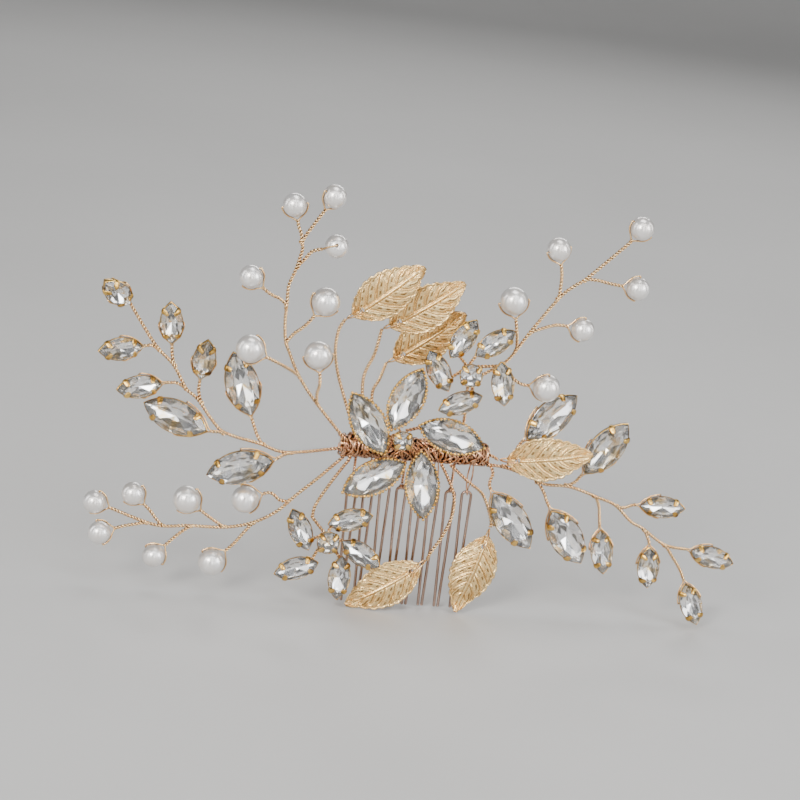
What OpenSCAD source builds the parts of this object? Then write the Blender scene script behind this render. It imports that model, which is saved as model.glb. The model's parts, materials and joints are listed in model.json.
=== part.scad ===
// Decorative hair comb: wire comb, bound wire sprays, navette stones, pearls and stamped leaves.
// Millimetres. X runs along the comb, Z is up (the teeth point down) and the decoration faces -Y.
// The origin is the middle of the comb, at the top of its arches.

/* [Comb] */
// number of comb teeth, each one a bent wire
tooth_count = 8; // [4:1:16]
// distance from one tooth to the next
tooth_pitch = 3.6; // [2.5:0.1:6]
// length of a tooth from its arch to its tips
tooth_length = 28; // [18:0.5:45]
// thickness of the comb wire
tooth_wire = 0.65; // [0.4:0.05:1.2]
// distance between the two legs of a tooth at its arch
arch_width = 2; // [1.6:0.1:3]
// distance between the two legs of a tooth at the tips
tip_width = 0.85; // [0.8:0.05:2]

/* [Binding] */
// length of the bound bundle along the comb
bundle_length = 32; // [20:0.5:60]
// thickness of the bound bundle
bundle_thickness = 4.4; // [3.6:0.1:7]
// height of the bundle above the arches
bundle_height = 8.5; // [5:0.5:14]
// thickness of the copper binding wire
binding_wire_size = 0.4; // [0.3:0.05:0.6]

/* [Wires] */
// thickness of one strand of stem wire
strand = 0.4; // [0.3:0.02:0.6]
// free space between neighbouring wires of one body
wire_gap = 0.05; // [0.03:0.01:0.2]
// free space between a spray's root and the binding
root_gap = 0.35; // [0.2:0.05:1]

/* [Stones] */
// length of a small navette stone
small_length = 9.6; // [7:0.5:12]
// length of a large navette stone
large_length = 14.4; // [12:0.5:17]
// width of a navette stone as a share of its length
stone_width_share = 0.48; // [0.35:0.01:0.6]
// length of the navette stone that the crown height and pavilion depth are given for
cut_length = 9.6; // [7:0.5:12]
// height of that stone's crown above its girdle; other stones follow in proportion
crown_height = 1.1; // [0.6:0.05:2]
// depth of that stone's pavilion below its girdle; other stones follow in proportion
pavilion_depth = 1.3; // [0.8:0.05:2.5]
// width of the upper and lower flowers' round centre stones
round_stone = 4.6; // [3.5:0.1:6]
// width of the main flower's round centre stone
main_round_stone = 3.8; // [3:0.1:6]
// thickness of the brass cups
cup_wall = 0.2; // [0.2:0.05:0.5]
// free space between a stone and its cup
stone_clearance = 0.05; // [0.02:0.01:0.15]
// how far the stones lean back to look up
look_up = 6; // [0:1:20]

/* [Pearls] */
// width of a small pearl
small_pearl = 5; // [4:0.1:5.5]
// width of a large pearl
large_pearl = 6; // [5:0.1:6.5]
// free space between a pearl's bore and its wire
bore_clearance = 0.08; // [0.02:0.01:0.1]

/* [Leaves] */
// length of a leaf
leaf_length = 18; // [14:0.5:20]
// width of a leaf
leaf_width = 9.6; // [7:0.5:12]
// thickness of the leaf sheet
leaf_sheet = 0.35; // [0.25:0.05:0.6]
// radius of the hollow that each leaf is pressed to
leaf_bow = 26; // [16:1:60]
// width of the eye near a leaf's base
leaf_eye = 1.1; // [0.9:0.05:1.4]

/* [Hidden] */
$fn = 24;

tooth_r = tooth_wire / 2;
strand_r = strand / 2;
// two strands twisted together
pair_r = strand;
bundle_r = bundle_thickness / 2;
end_x = bundle_length / 2;
// the sprays' first points stand clear of the bundle's ends and of its side
end_gap = pair_r + root_gap;
root_r = bundle_r + pair_r + root_gap;
leg_half = arch_width / 2;
tip_half = tip_width / 2;
arch_z = -tooth_r - leg_half;
leg_drop = tooth_length - tooth_r + arch_z;
leg_lean = atan((leg_half - tip_half) / leg_drop);
cup_tip = 1.8 * cup_wall;
cup_floor = 0.3;
prong_r = 0.25;
bead_r = 0.35;
girdle = 0.25;
brass = [0.83, 0.68, 0.4];
gold = [0.93, 0.78, 0.55];
copper = [0.72, 0.42, 0.28];
clear = [0.93, 0.95, 0.97];
ivory = [0.96, 0.94, 0.9];

// ---- places: x, y, z, heading, lift, place along the stem, size ----
// Places are counted from the middle of the bundle, or from its ends for the left and right sprays.
// A heading is counted from +X towards +Z. Lift brings the far end towards the viewer.
left_points = [[-end_gap, -1, -0.7], [-11.5, -1, -2.5], [-17.5, -1, -1], [-25, -1.5, 1],
               [-28, -1.5, 3.5], [-31.5, -1.5, 8], [-34, -1.5, 10], [-35, -1.5, 11.5],
               [-37.5, -1.5, 15.5], [-41.5, -1.5, 19.5]];
left_small = [[-50, -2, 30, 136, 40, 10, small_length], [-48.5, -2, 18, 186, 22, 9, small_length],
              [-38.5, -2, 24.5, 96, 18, 8, small_length], [-44, -2, 10, 189, 15, 7, small_length],
              [-31, -2, 17, 85, 22, 5, small_length]];
left_large = [[-36, -2, 4, 162, -10, 3.2, large_length], [-22.5, -1, 12, 110, 5, 2, large_length],
              [-21.5, -3.5, -5.9, 199, -8, 1, large_length]];

right_points = [[end_gap, -1, -1.9], [5, -1, -2.5], [11, -1, -4.5], [13.5, -1, -5.5], [19, -1.5, -5.5],
                [25.5, -1.5, -7.5], [29.5, -1.5, -9], [33.5, -1.5, -12.5], [36.5, -1.5, -14],
                [42, -1.5, -17.5]];
right_small = [[28, -2, -20, -81, 8, 5, small_length], [40, -2, -8.5, 3, 10, 6.3, small_length],
               [39, -2, -23, -84, -8, 8, small_length], [53, -2, -19.5, -11, 8, 10, small_length],
               [50, -2, -31, -68, 5, 9, small_length]];
right_large = [[13.5, 2, 9, 43, -12, 1, large_length], [25.5, -2, 4, 58, 8, 4, large_length],
               [6, -6.5, -12.5, -51, 4, 0.4, large_length], [19.5, -2.5, -17, -55, -8, 2.6, large_length]];

upper_left_points = [root(0.4 - end_x, 40), [-23, -2, 10], [-27, -2, 15.5], [-29.5, -2, 20.5],
                     [-30.5, -2, 23], [-31, -2.5, 27.5], [-31, -3, 31.5], [-31, -3, 35],
                     [-30, -3.5, 38.5], [-29, -3.5, 43], [-29, -4, 45.5]];
upper_left_pearls = [
    [-31.5, -4, 52.5, 105, 0, 10, small_pearl, 0], [-23.5, -4, 55, 60, 0, 11, small_pearl, 20],
    [-22, -4, 44.5, 15, 0, 7.8, small_pearl, 70], [-39, -4, 36.5, 141, 0, 6, small_pearl, 0],
    [-23, -4, 32.5, 57, 0, 4, large_pearl, 0], [-38, -7.5, 22, 157, 0, 2, large_pearl, 20],
    [-23.5, -5, 21, 100, 0, 1, large_pearl, 0]];

lower_left_points = [root(0.4 - end_x, -60), [-20, -1, -7.5], [-24.5, -1, -12], [-28.5, -1.5, -16],
                     [-33.5, -1.5, -19], [-39.5, -1.5, -20.5], [-47, -2, -20.5], [-53, -2, -21],
                     [-57.5, -2, -20]];
lower_left_pearls = [
    [-67.5, -2, -16.5, 161, 0, 9, small_pearl, 0], [-66, -2, -23.5, 201, 0, 7.7, small_pearl, 20],
    [-59.5, -2, -14, 137, 0, 7, small_pearl, 0], [-54, -2, -28, 229, 0, 6, small_pearl, 15],
    [-48, -2, -14.5, 144, 0, 5, large_pearl, 0], [-41.5, -2, -28.5, 225, 0, 4, large_pearl, 0],
    [-35.5, -1, -13.9, 202, 0, 2.6, large_pearl, 10]];

upper_right_points = [root(9.5, 65, 0.35), [9.5, -2.4, 9.5], [9.5, -2.4, 16.5], [12.5, -2.4, 19],
                      [16, -2.6, 21.5], [18, -3, 24], [21, -3.5, 29.5], [26, -4, 37.5],
                      [29, -4, 40.5], [31.5, -4, 42.5]];
upper_right_pearls = [
    [24.5, -4, 48, 105, 0, 7, small_pearl, 15], [41.5, -4, 54, 55, 0, 10, small_pearl, 0],
    [42.5, -4, 41, -5, 0, 9, small_pearl, 0], [32, -4, 31, -8, 0, 6, small_pearl, 0],
    [16.5, -4, 36, 103, 0, 5.3, large_pearl, 0], [26, -4, 17.5, -3, 0, 4, large_pearl, 10]];
upper_hub = [8.7, -2.8, 20.4];
upper_petals = [[6.4, -7, 27.7, 62, 5, 0, small_length], [13.2, -7, 27.3, 37, 0, 0, small_length],
                [2, -7, 20.3, 121, 0, 0, small_length], [7.5, -7, 13.5, 203, 0, 0, small_length],
                [16, -7, 18.5, -79, -5, 0, small_length]];

main_hub = [-4, -3.1, 4.8];
main_petals = [[-11.5, -7.2, 7.5, 123, -8, 0, large_length], [-4, -7.2, 13.5, 70, 5, 0, large_length],
               [6.5, -7.2, 6, -15, 0, 0, large_length], [-9, -7.2, -4.5, 210, 0, 0, large_length],
               [1.5, -7.2, -5.5, -83, 5, 0, large_length]];

lower_points = [root(1.8 - end_x, -46, 0.5), [-18, -3, -8.5], [-20.5, -3.2, -13.5], [-20.8, -3.6, -16]];
lower_hub = [-17.4, -4.3, -19.4];
lower_petals = [[-23.5, -7.5, -17.5, 116, 0, 0, small_length], [-13, -7.5, -14.5, 15, 0, 0, small_length],
                [-10, -8, -22, -29, 12, 0, small_length], [-14, -7.5, -28, -92, 0, 0, small_length],
                [-23.5, -7.5, -26.5, 199, 0, 0, small_length]];

// leaves: eye x, y, z, heading, lift
leaves = [[-15, -1.5, 30.5, 42, 4], [-6.5, 1, 28, 37, 4], [-4.5, 3.6, 20, 41, 4],
          [end_x + 6, -4, 0.5, 12, 8], [2, -3.5, -27, 214, 0], [17.5, -2.4, -20.5, -106, 0]];
leaf_stem_points = [[root(2.5 - end_x, 75), [-16.5, 0, 10.5], [-18.5, 0.5, 16],
                     [-19.5, 0.3, 21], [-19.3, -0.3, 25.5]],
                    [root(4.5 - end_x, 105), [-12.8, 0, 12.5], [-12.6, 0.3, 16.5], [-11, 0.8, 20.5]],
                    [root(6.5 - end_x, 108), [-10.5, 0.8, 11.5], [-9.2, 1.8, 14.5]],
                    [[end_x + 0.5, -1.8, 0.5]],
                    [root(6, -45, 0.45), [7.8, -2.6, -5.5], [9.5, -2.6, -9.5], [9.5, -2.6, -14],
                     [8, -2.8, -18.5], [5.8, -3.2, -22.5]],
                    [root(8, -41, 0.4), [12, -2.7, -5.5], [16, -1, -9], [18.5, -0.6, -14.5]]];

// ---- small vector functions ----
// a place on the bundle's side, at an angle counted upwards from the front
function root(x, a, more = 0) = [x, -(root_r + more) * cos(a), (root_r + more) * sin(a)];
function unit(v) = v / norm(v);
function turn_x(a, v) = [v[0], v[1] * cos(a) - v[2] * sin(a), v[1] * sin(a) + v[2] * cos(a)];
function turn_y(a, v) = [v[0] * cos(a) + v[2] * sin(a), v[1], v[2] * cos(a) - v[0] * sin(a)];
// a point given along a piece's heading, across it and towards the viewer
function seat(p, v, up = 0) =
    [p[0], p[1], p[2]] + turn_x(-up, turn_y(-p[3], turn_x(90, turn_y(-p[4], v))));
function half_thick(p) = cup_depth(p) / 2;
function cup_depth(p) = pavilion_depth * p[6] / cut_length + cup_floor + 3 * stone_clearance;
// where a twig meets a stone's cup, a pearl's loop or a leaf's loop
function stone_neck(p) = seat(p, [-p[6] / 2 - cup_tip - pair_r - wire_gap, 0, -half_thick(p)], look_up);
// a flower's petals are held from behind, near their inner ends
function petal_neck(p) =
    seat(p, [0.15 * p[6] - p[6] / 2, 0, -cup_depth(p) - 1.5 * pair_r - wire_gap], look_up);
function pearl_neck_x(p) = -p[6] / 2 - 3 * strand;
function pearl_neck(p) = seat(p, [pearl_neck_x(p) - 1.5 * strand - wire_gap, 0, 0]);
function leaf_neck(p) = seat(p, [-4.2, 0, -1.7]);
function ahead(p) = unit(seat(p, [1, 0, 0]) - seat(p, [0, 0, 0]));

// a smooth curve through given points
function spline(a, b, c, d, t) =
    0.5 * (2 * b + (c - a) * t + (2 * a - 5 * b + 4 * c - d) * t * t + (3 * b - a - 3 * c + d) * t * t * t);
function at(points, s) =
    let (last = len(points) - 1, i = min(floor(s), last - 1), t = s - i)
    spline(points[max(i - 1, 0)], points[i], points[i + 1], points[min(i + 2, last)], t);
function curve(points, steps) =
    let (n = (len(points) - 1) * steps)
    [for (k = [0 : n]) at(points, k / steps)];
function heading_at(points, s) =
    unit(at(points, min(s + 0.05, len(points) - 1)) - at(points, max(s - 0.05, 0)));
function bezier(a, b, c, d, t) =
    a * pow(1 - t, 3) + 3 * b * t * pow(1 - t, 2) + 3 * c * t * t * (1 - t) + d * pow(t, 3);

// a twig leaves its stem just clear of it and arrives along its piece's heading
function clear_of_stem(angle) = (pair_r * (1 + abs(cos(angle))) + 3 * wire_gap) / max(sin(angle), 0.3);
function twig(stem, s, end, along) =
    let (from = at(stem, s),
         reach = norm(end - from),
         aim = unit(end - along * reach * 0.15 - from),
         angle = acos(aim * heading_at(stem, s)),
         start = from + aim * clear_of_stem(angle),
         left = norm(end - start))
    [for (k = [0 : 4]) bezier(start, start + aim * left / 3, end - along * left / 3, end, k / 4)];
// a straight wire from a flower's hub to one of its petals
function spoke(hub, end) =
    let (aim = unit(end - hub))
    [hub + aim * 3 * strand, end];

// ---- shapes ----
// a round wire along a path; side is any direction that the path never takes
module wire(path, r, sides = 8, side = [0, 1, 0]) {
    n = len(path);
    rings = [for (i = [0 : n - 1])
        let (t = unit(path[min(i + 1, n - 1)] - path[max(i - 1, 0)]),
             u = unit(cross(t, side)),
             v = cross(u, t))
        for (k = [0 : sides - 1])
            path[i] + r * (cos(360 * k / sides) * u + sin(360 * k / sides) * v)];
    skin = [for (i = [0 : n - 2], k = [0 : sides - 1], half = [0, 1])
        let (a = i * sides + k, b = i * sides + (k + 1) % sides)
        half == 0 ? [a, b, b + sides] : [a, b + sides, a + sides]];
    first = [for (k = [1 : sides - 2]) [0, k + 1, k]];
    base = (n - 1) * sides;
    last = [for (k = [1 : sides - 2]) [base, base + k, base + k + 1]];
    polyhedron(points = rings, faces = concat(skin, first, last));
}

// a wire whose end runs back into its start
module ring_wire(path, r, sides = 8, side = [0, 1, 0]) {
    n = len(path);
    rings = [for (i = [0 : n - 1])
        let (t = unit(path[(i + 1) % n] - path[(i + n - 1) % n]),
             u = unit(cross(t, side)),
             v = cross(u, t))
        for (k = [0 : sides - 1])
            path[i] + r * (cos(360 * k / sides) * u + sin(360 * k / sides) * v)];
    skin = [for (i = [0 : n - 1], k = [0 : sides - 1], half = [0, 1])
        let (j = (i + 1) % n, a = i * sides + k, b = i * sides + (k + 1) % sides,
             c = j * sides + k, d = j * sides + (k + 1) % sides)
        half == 0 ? [a, b, d] : [a, d, c]];
    polyhedron(points = rings, faces = skin);
}

module seated(p, up = 0) {
    translate([p[0], p[1], p[2]])
        rotate([-up, 0, 0])
            rotate([0, -p[3], 0])
                rotate([90, 0, 0])
                    rotate([0, -p[4], 0])
                        children();
}

// the pointed oval of a navette: two equal arcs that meet at the tips
function oval(a, b, n) =
    let (r = (a * a + b * b) / (2 * b), open = asin(a / r))
    concat([for (k = [0 : n - 1]) let (w = open - 2 * open * k / n) [r * sin(w), r * cos(w) - r + b]],
           [for (k = [0 : n - 1]) let (w = open - 2 * open * k / n) [-r * sin(w), r - b - r * cos(w)]]);

// a faceted stone from rings of equal count, closed by a flat top and a keel or point
module stone_body(rings, keel) {
    n = len(rings[0]);
    m = len(rings);
    points = concat([for (ring = rings) each ring], keel);
    skin = [for (i = [0 : m - 2], k = [0 : n - 1], half = [0, 1])
        let (a = i * n + k, b = i * n + (k + 1) % n)
        half == 0 ? [a, b, b + n] : [a, b + n, a + n]];
    top = [for (k = [1 : n - 2]) [0, k + 1, k]];
    base = (m - 1) * n;
    // each lowest edge runs to the keel's nearer end, and the keel's ends are joined at the two middles
    under = [for (k = [0 : n - 1])
        let (near = len(keel) == 1 ? 0 : (k < n / 4 || k >= 3 * n / 4) ? 0 : 1)
        [base + k, base + (k + 1) % n, m * n + near]];
    joins = len(keel) == 1 ? [] : [[base + n / 4, m * n + 1, m * n], [base + 3 * n / 4, m * n, m * n + 1]];
    polyhedron(points = points, faces = concat(skin, top, under, joins));
}

module navette(p) {
    k = p[6] / cut_length;
    a = p[6] / 2;
    b = a * stone_width_share;
    z = girdle / 2;
    seated(p, look_up)
        stone_body([[for (q = oval(0.58 * a, 0.5 * b, 6)) [q[0], q[1], crown_height * k]],
                    [for (q = oval(a, b, 6)) [q[0], q[1], z]],
                    [for (q = oval(a, b, 6)) [q[0], q[1], -z]]],
                   [[0.45 * a, 0, -pavilion_depth * k], [-0.45 * a, 0, -pavilion_depth * k]]);
}

module round_cut(p) {
    r = p[6] / 2;
    z = girdle / 2;
    k = p[6] / cut_length * 1.7;
    seated(p, look_up)
        stone_body([[for (w = [0 : 30 : 330]) [0.55 * r * cos(w), 0.55 * r * sin(w), crown_height * k]],
                    [for (w = [0 : 30 : 330]) [r * cos(w), r * sin(w), z]],
                    [for (w = [0 : 30 : 330]) [r * cos(w), r * sin(w), -z]]],
                   [[0, 0, -pavilion_depth * k]]);
}

module on_bundle(x = 0) {
    translate([x, 0, bundle_height])
        children();
}

module prong(x, y, away, depth) {
    reach = stone_clearance + prong_r + 0.02;
    translate([x + reach * away[0], y + reach * away[1], -depth])
        cylinder(r = prong_r, h = depth + girdle / 2 + bead_r);
    translate([x + 0.22 * away[0], y + 0.22 * away[1], girdle / 2 + bead_r + 0.08])
        sphere(r = bead_r);
}

// a brass cup with an open floor; four prongs or a raised rim hold the stone's edge
module navette_cup(p, pronged) {
    a = p[6] / 2;
    b = a * stone_width_share;
    depth = cup_depth(p);
    inner_a = a + 2.2 * stone_clearance;
    inner_b = b + stone_clearance;
    arc_r = (a * a + b * b) / (2 * b);
    swing = asin(0.62 * a / arc_r);
    seated(p, look_up) {
        difference() {
            translate([0, 0, -depth])
                linear_extrude(height = depth + (pronged ? -0.1 : girdle / 2))
                    polygon(oval(a + cup_tip, b + stone_clearance + cup_wall, 8));
            translate([0, 0, cup_floor - depth])
                linear_extrude(height = 2 * depth)
                    polygon(oval(inner_a, inner_b, 8));
            translate([0, 0, -depth - 1])
                linear_extrude(height = depth)
                    polygon(oval(0.6 * a, 0.45 * b, 8));
        }
        if (pronged)
            for (sx = [-1, 1], sy = [-1, 1])
                prong(sx * 0.62 * a, sy * (arc_r * cos(swing) - arc_r + b),
                      [sx * sin(swing), sy * cos(swing)], depth);
    }
}

module round_cup(p) {
    r = p[6] / 2;
    depth = cup_depth([0, 0, 0, 0, 0, 0, p[6] * 1.7]);
    seated(p, look_up) {
        difference() {
            translate([0, 0, -depth])
                cylinder(r = r + stone_clearance + cup_wall, h = depth - 0.1);
            translate([0, 0, cup_floor - depth])
                cylinder(r = r + stone_clearance, h = depth);
            translate([0, 0, -depth - 1])
                cylinder(r = r / 2, h = depth);
        }
        for (w = [45 : 90 : 315])
            prong(r * cos(w), r * sin(w), [cos(w), sin(w)], depth);
    }
}

module pearl(p) {
    color(ivory)
        seated(p)
            rotate([p[7], 0, 0])
                difference() {
                    sphere(r = p[6] / 2, $fn = 48);
                    rotate([90, 0, 0])
                        cylinder(r = strand_r + bore_clearance, h = p[6] + 2, center = true);
                }
}

// one strand through a pearl's bore and back round both sides to the neck
module pearl_loop(p) {
    r = p[6] / 2;
    q = r + 1.6 * strand_r;
    neck_x = pearl_neck_x(p);
    open = acos(-q / neck_x);
    side = [for (k = [0 : 4]) let (w = 82 - (82 - open) * k / 4) [-q * cos(w), q * sin(w), 0]];
    path = concat([[0, r + 0.02, 0], [0, q, 0]], side, [[neck_x, 0, 0]],
                  [for (k = [4 : -1 : 0]) [side[k][0], -side[k][1], 0]], [[0, -q, 0], [0, -r - 0.02, 0]]);
    seated(p)
        rotate([p[7], 0, 0]) {
            wire(path, strand_r * 1.08, 6, [0, 0, 1]);
            rotate([90, 0, 0])
                cylinder(r = strand_r, h = 2 * r + strand, center = true);
        }
}

// a closed strand through a leaf's eye and round its base
module leaf_loop(p) {
    path = [[0, 0, 0.75], [0, 0, -0.1], [0, 0, -0.95], [-0.6, 0, -1.35], [-1.4, 0, -1.75],
            [-2.4, 0, -2.2], [-3.2, 0, -2.2], [-3.6, 0, -1.7], [-3.3, 0, -0.9], [-2.6, 0, -0.1],
            [-1.6, 0, 0.5], [-0.6, 0, 0.9]];
    seated(p)
        ring_wire(path, strand_r, 6, [0, 1, 0]);
}

function leaf_edge(t) = 0.5 * leaf_width * pow(sin(180 * pow(t, 0.85)), 0.8);
module leaf(p) {
    teeth = 9;
    back = 2.3;
    mid = leaf_length / 2 - back;
    edge = [for (i = [1 : 2 * teeth - 1])
        let (t = i / (2 * teeth), out = i % 2)
        [leaf_length * t - back + 0.3 * out, leaf_edge(t) + 0.25 * out]];
    outline = concat([[-back, 0]], edge, [[leaf_length - back, 0]],
        [for (i = [len(edge) - 1 : -1 : 0]) [edge[i][0], -edge[i][1]]]);
    color(gold)
        seated(p)
            difference() {
                intersection() {
                    translate([0, 0, -8])
                        linear_extrude(height = 12)
                            polygon(outline);
                    translate([mid, 0, -sqrt(leaf_bow * leaf_bow - mid * mid)])
                        difference() {
                            sphere(r = leaf_bow, $fn = 96);
                            sphere(r = leaf_bow - leaf_sheet, $fn = 96);
                        }
                }
                translate([0, 0, -5])
                    cylinder(r = leaf_eye / 2, h = 10);
            }
}

module leg(sx) {
    turn = sx * leg_lean;
    rotate([0, turn, 0])
        translate([sx * leg_half, 0, -leg_drop]) {
            cylinder(r = tooth_r, h = leg_drop + 0.06);
            sphere(r = tooth_r);
        }
}

// ---- sub-parts ----
module comb_teeth() {
    color(copper)
        for (i = [0 : tooth_count - 1])
            translate([(i - (tooth_count - 1) / 2) * tooth_pitch, 0, arch_z]) {
                rotate([90, 0, 0])
                    rotate([0, 0, -leg_lean])
                        rotate_extrude(angle = 180 + 2 * leg_lean)
                            translate([leg_half, 0])
                                circle(r = tooth_r - 0.005);
                leg(-1);
                leg(1);
            }
}

// each tooth's arch is tied up to the bundle by one copper turn
module tie_wires() {
    r = binding_wire_size / 2;
    top_r = bundle_r + r + wire_gap;
    low_r = tooth_r + r + wire_gap;
    low_z = -tooth_r;
    span = bundle_height - low_z;
    slant = asin((top_r - low_r) / span);
    path = concat([for (w = [-slant : (180 + 2 * slant) / 12 : 180.01 + slant])
                      [0, top_r * cos(w), bundle_height + top_r * sin(w)]],
                  [for (w = [180 + slant : (180 - 2 * slant) / 6 : 360.01 - slant])
                      [0, low_r * cos(w), low_z + low_r * sin(w)]]);
    color(copper)
        for (i = [0 : tooth_count - 1])
            translate([(i - (tooth_count - 1) / 2) * tooth_pitch, 0, 0])
                ring_wire(path, r, 6, [1, 0, 0]);
}

// the copper wire wound side by side round the stems' tails
module binding_wire() {
    turns = floor(bundle_length / (2 * binding_wire_size));
    step = bundle_length / turns;
    crest = [for (i = [0 : 2 * turns])
        [bundle_r - (i % 2 == 0 ? binding_wire_size * 0.35 : 0), i * step / 2]];
    color(copper)
        translate([-end_x, 0, bundle_height])
            rotate([0, 90, 0])
                rotate_extrude()
                    polygon(concat(crest, [[bundle_r - binding_wire_size, bundle_length],
                                           [bundle_r - binding_wire_size, 0]]));
}

module stem_tails() {
    room = bundle_r - binding_wire_size - wire_gap;
    tail_r = room / 3 - wire_gap / 2;
    color(gold)
        translate([-end_x - 0.3, 0, bundle_height])
            rotate([0, 90, 0])
                for (w = [-1 : 5])
                    rotate([0, 0, 60 * w])
                        translate([w < 0 ? 0 : 2 * room / 3, 0, 0])
                            cylinder(r = tail_r, h = bundle_length + 0.6);
}

module centre_wires() {
    color(gold) on_bundle() {
        for (i = [0 : 5]) {
            wire(curve(concat(leaf_stem_points[i], [leaf_neck(leaves[i])]), 3), pair_r);
            leaf_loop(leaves[i]);
        }
        for (p = main_petals)
            wire(spoke(main_hub, petal_neck(p)), pair_r);
        wire([root(main_hub[0], 66), main_hub + [0, 0.9, 0]], pair_r);
    }
}

module navettes(list) {
    color(clear)
        for (p = list)
            navette(p);
}

module cups(list, pronged = true) {
    color(brass)
        for (p = list)
            navette_cup(p, pronged);
}

// a spray's stem runs on into its last twig, and the other twigs leave it
module stone_stem(points, list, last) {
    stem = concat(points, [stone_neck(list[last])]);
    wire(curve(stem, 3), pair_r);
    for (i = [0 : len(list) - 1])
        if (i != last)
            wire(twig(stem, list[i][5], stone_neck(list[i]), ahead(list[i])), pair_r);
}

module pearl_stem(points, list, last) {
    stem = concat(points, [pearl_neck(list[last])]);
    wire(curve(stem, 3), pair_r);
    for (i = [0 : len(list) - 1]) {
        if (i != last)
            wire(twig(stem, list[i][5], pearl_neck(list[i]), ahead(list[i])), pair_r);
        pearl_loop(list[i]);
    }
}

module main_petal_stones() on_bundle() navettes(main_petals);
module main_petal_cups() on_bundle() cups(main_petals, false);
main_round = [-4, -9, 4.8, 0, 0, 0, main_round_stone];
module main_centre_stone() on_bundle() color(clear) round_cut(main_round);
module main_centre_cup() on_bundle() color(brass) round_cup(main_round);

module left_stem() on_bundle(-end_x) color(gold) stone_stem(left_points, concat(left_small, left_large), 0);
module left_small_stones() on_bundle(-end_x) navettes(left_small);
module left_large_stones() on_bundle(-end_x) navettes(left_large);
module left_cups() on_bundle(-end_x) cups(concat(left_small, left_large));

module right_stem() {
    on_bundle(end_x)
        color(gold)
            stone_stem(right_points, concat(right_small, right_large), 3);
}
module right_small_stones() on_bundle(end_x) navettes(right_small);
module right_large_stones() on_bundle(end_x) navettes(right_large);
module right_cups() on_bundle(end_x) cups(concat(right_small, right_large));

module upper_left_wires() on_bundle() color(gold) pearl_stem(upper_left_points, upper_left_pearls, 1);
module lower_left_wires() on_bundle() color(gold) pearl_stem(lower_left_points, lower_left_pearls, 0);

upper_round = [8.7, -9, 20.4, 0, 0, 0, round_stone];
module upper_right_wires() {
    color(gold) on_bundle() {
        pearl_stem(upper_right_points, upper_right_pearls, 1);
        for (p = upper_petals)
            wire(spoke(upper_hub, petal_neck(p)), pair_r);
    }
}
module upper_petal_stones() on_bundle() navettes(upper_petals);
module upper_petal_cups() on_bundle() cups(upper_petals);
module upper_centre_stone() on_bundle() color(clear) round_cut(upper_round);
module upper_centre_cup() on_bundle() color(brass) round_cup(upper_round);

lower_round = [-17.4, -9.3, -19.4, 0, 0, 0, round_stone];
module lower_flower_stem() {
    color(gold) on_bundle() {
        wire(curve(lower_points, 3), pair_r);
        for (p = lower_petals)
            wire(spoke(lower_hub, petal_neck(p)), pair_r);
    }
}
module lower_petal_stones() on_bundle() navettes(lower_petals);
module lower_petal_cups() on_bundle() cups(lower_petals);
module lower_centre_stone() on_bundle() color(clear) round_cut(lower_round);
module lower_centre_cup() on_bundle() color(brass) round_cup(lower_round);

module leaf_1() on_bundle() leaf(leaves[0]);
module leaf_2() on_bundle() leaf(leaves[1]);
module leaf_3() on_bundle() leaf(leaves[2]);
module leaf_4() on_bundle() leaf(leaves[3]);
module leaf_5() on_bundle() leaf(leaves[4]);
module leaf_6() on_bundle() leaf(leaves[5]);

module pearl_1() on_bundle() pearl(upper_left_pearls[0]);
module pearl_2() on_bundle() pearl(upper_left_pearls[1]);
module pearl_3() on_bundle() pearl(upper_left_pearls[2]);
module pearl_4() on_bundle() pearl(upper_left_pearls[3]);
module pearl_5() on_bundle() pearl(upper_left_pearls[4]);
module pearl_6() on_bundle() pearl(upper_left_pearls[5]);
module pearl_7() on_bundle() pearl(upper_left_pearls[6]);
module pearl_8() on_bundle() pearl(lower_left_pearls[0]);
module pearl_9() on_bundle() pearl(lower_left_pearls[1]);
module pearl_10() on_bundle() pearl(lower_left_pearls[2]);
module pearl_11() on_bundle() pearl(lower_left_pearls[3]);
module pearl_12() on_bundle() pearl(lower_left_pearls[4]);
module pearl_13() on_bundle() pearl(lower_left_pearls[5]);
module pearl_14() on_bundle() pearl(lower_left_pearls[6]);
module pearl_15() on_bundle() pearl(upper_right_pearls[0]);
module pearl_16() on_bundle() pearl(upper_right_pearls[1]);
module pearl_17() on_bundle() pearl(upper_right_pearls[2]);
module pearl_18() on_bundle() pearl(upper_right_pearls[3]);
module pearl_19() on_bundle() pearl(upper_right_pearls[4]);
module pearl_20() on_bundle() pearl(upper_right_pearls[5]);

comb_teeth();
tie_wires();
binding_wire();
stem_tails();
centre_wires();
main_petal_stones();
main_petal_cups();
main_centre_stone();
main_centre_cup();
left_stem();
left_small_stones();
left_large_stones();
left_cups();
right_stem();
right_small_stones();
right_large_stones();
right_cups();
upper_left_wires();
lower_left_wires();
upper_right_wires();
upper_petal_stones();
upper_petal_cups();
upper_centre_stone();
upper_centre_cup();
lower_flower_stem();
lower_petal_stones();
lower_petal_cups();
lower_centre_stone();
lower_centre_cup();
leaf_1();
leaf_2();
leaf_3();
leaf_4();
leaf_5();
leaf_6();
pearl_1();
pearl_2();
pearl_3();
pearl_4();
pearl_5();
pearl_6();
pearl_7();
pearl_8();
pearl_9();
pearl_10();
pearl_11();
pearl_12();
pearl_13();
pearl_14();
pearl_15();
pearl_16();
pearl_17();
pearl_18();
pearl_19();
pearl_20();
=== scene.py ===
import json
import math

import bmesh
import bpy
import numpy as np
from mathutils import Matrix, Vector


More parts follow.
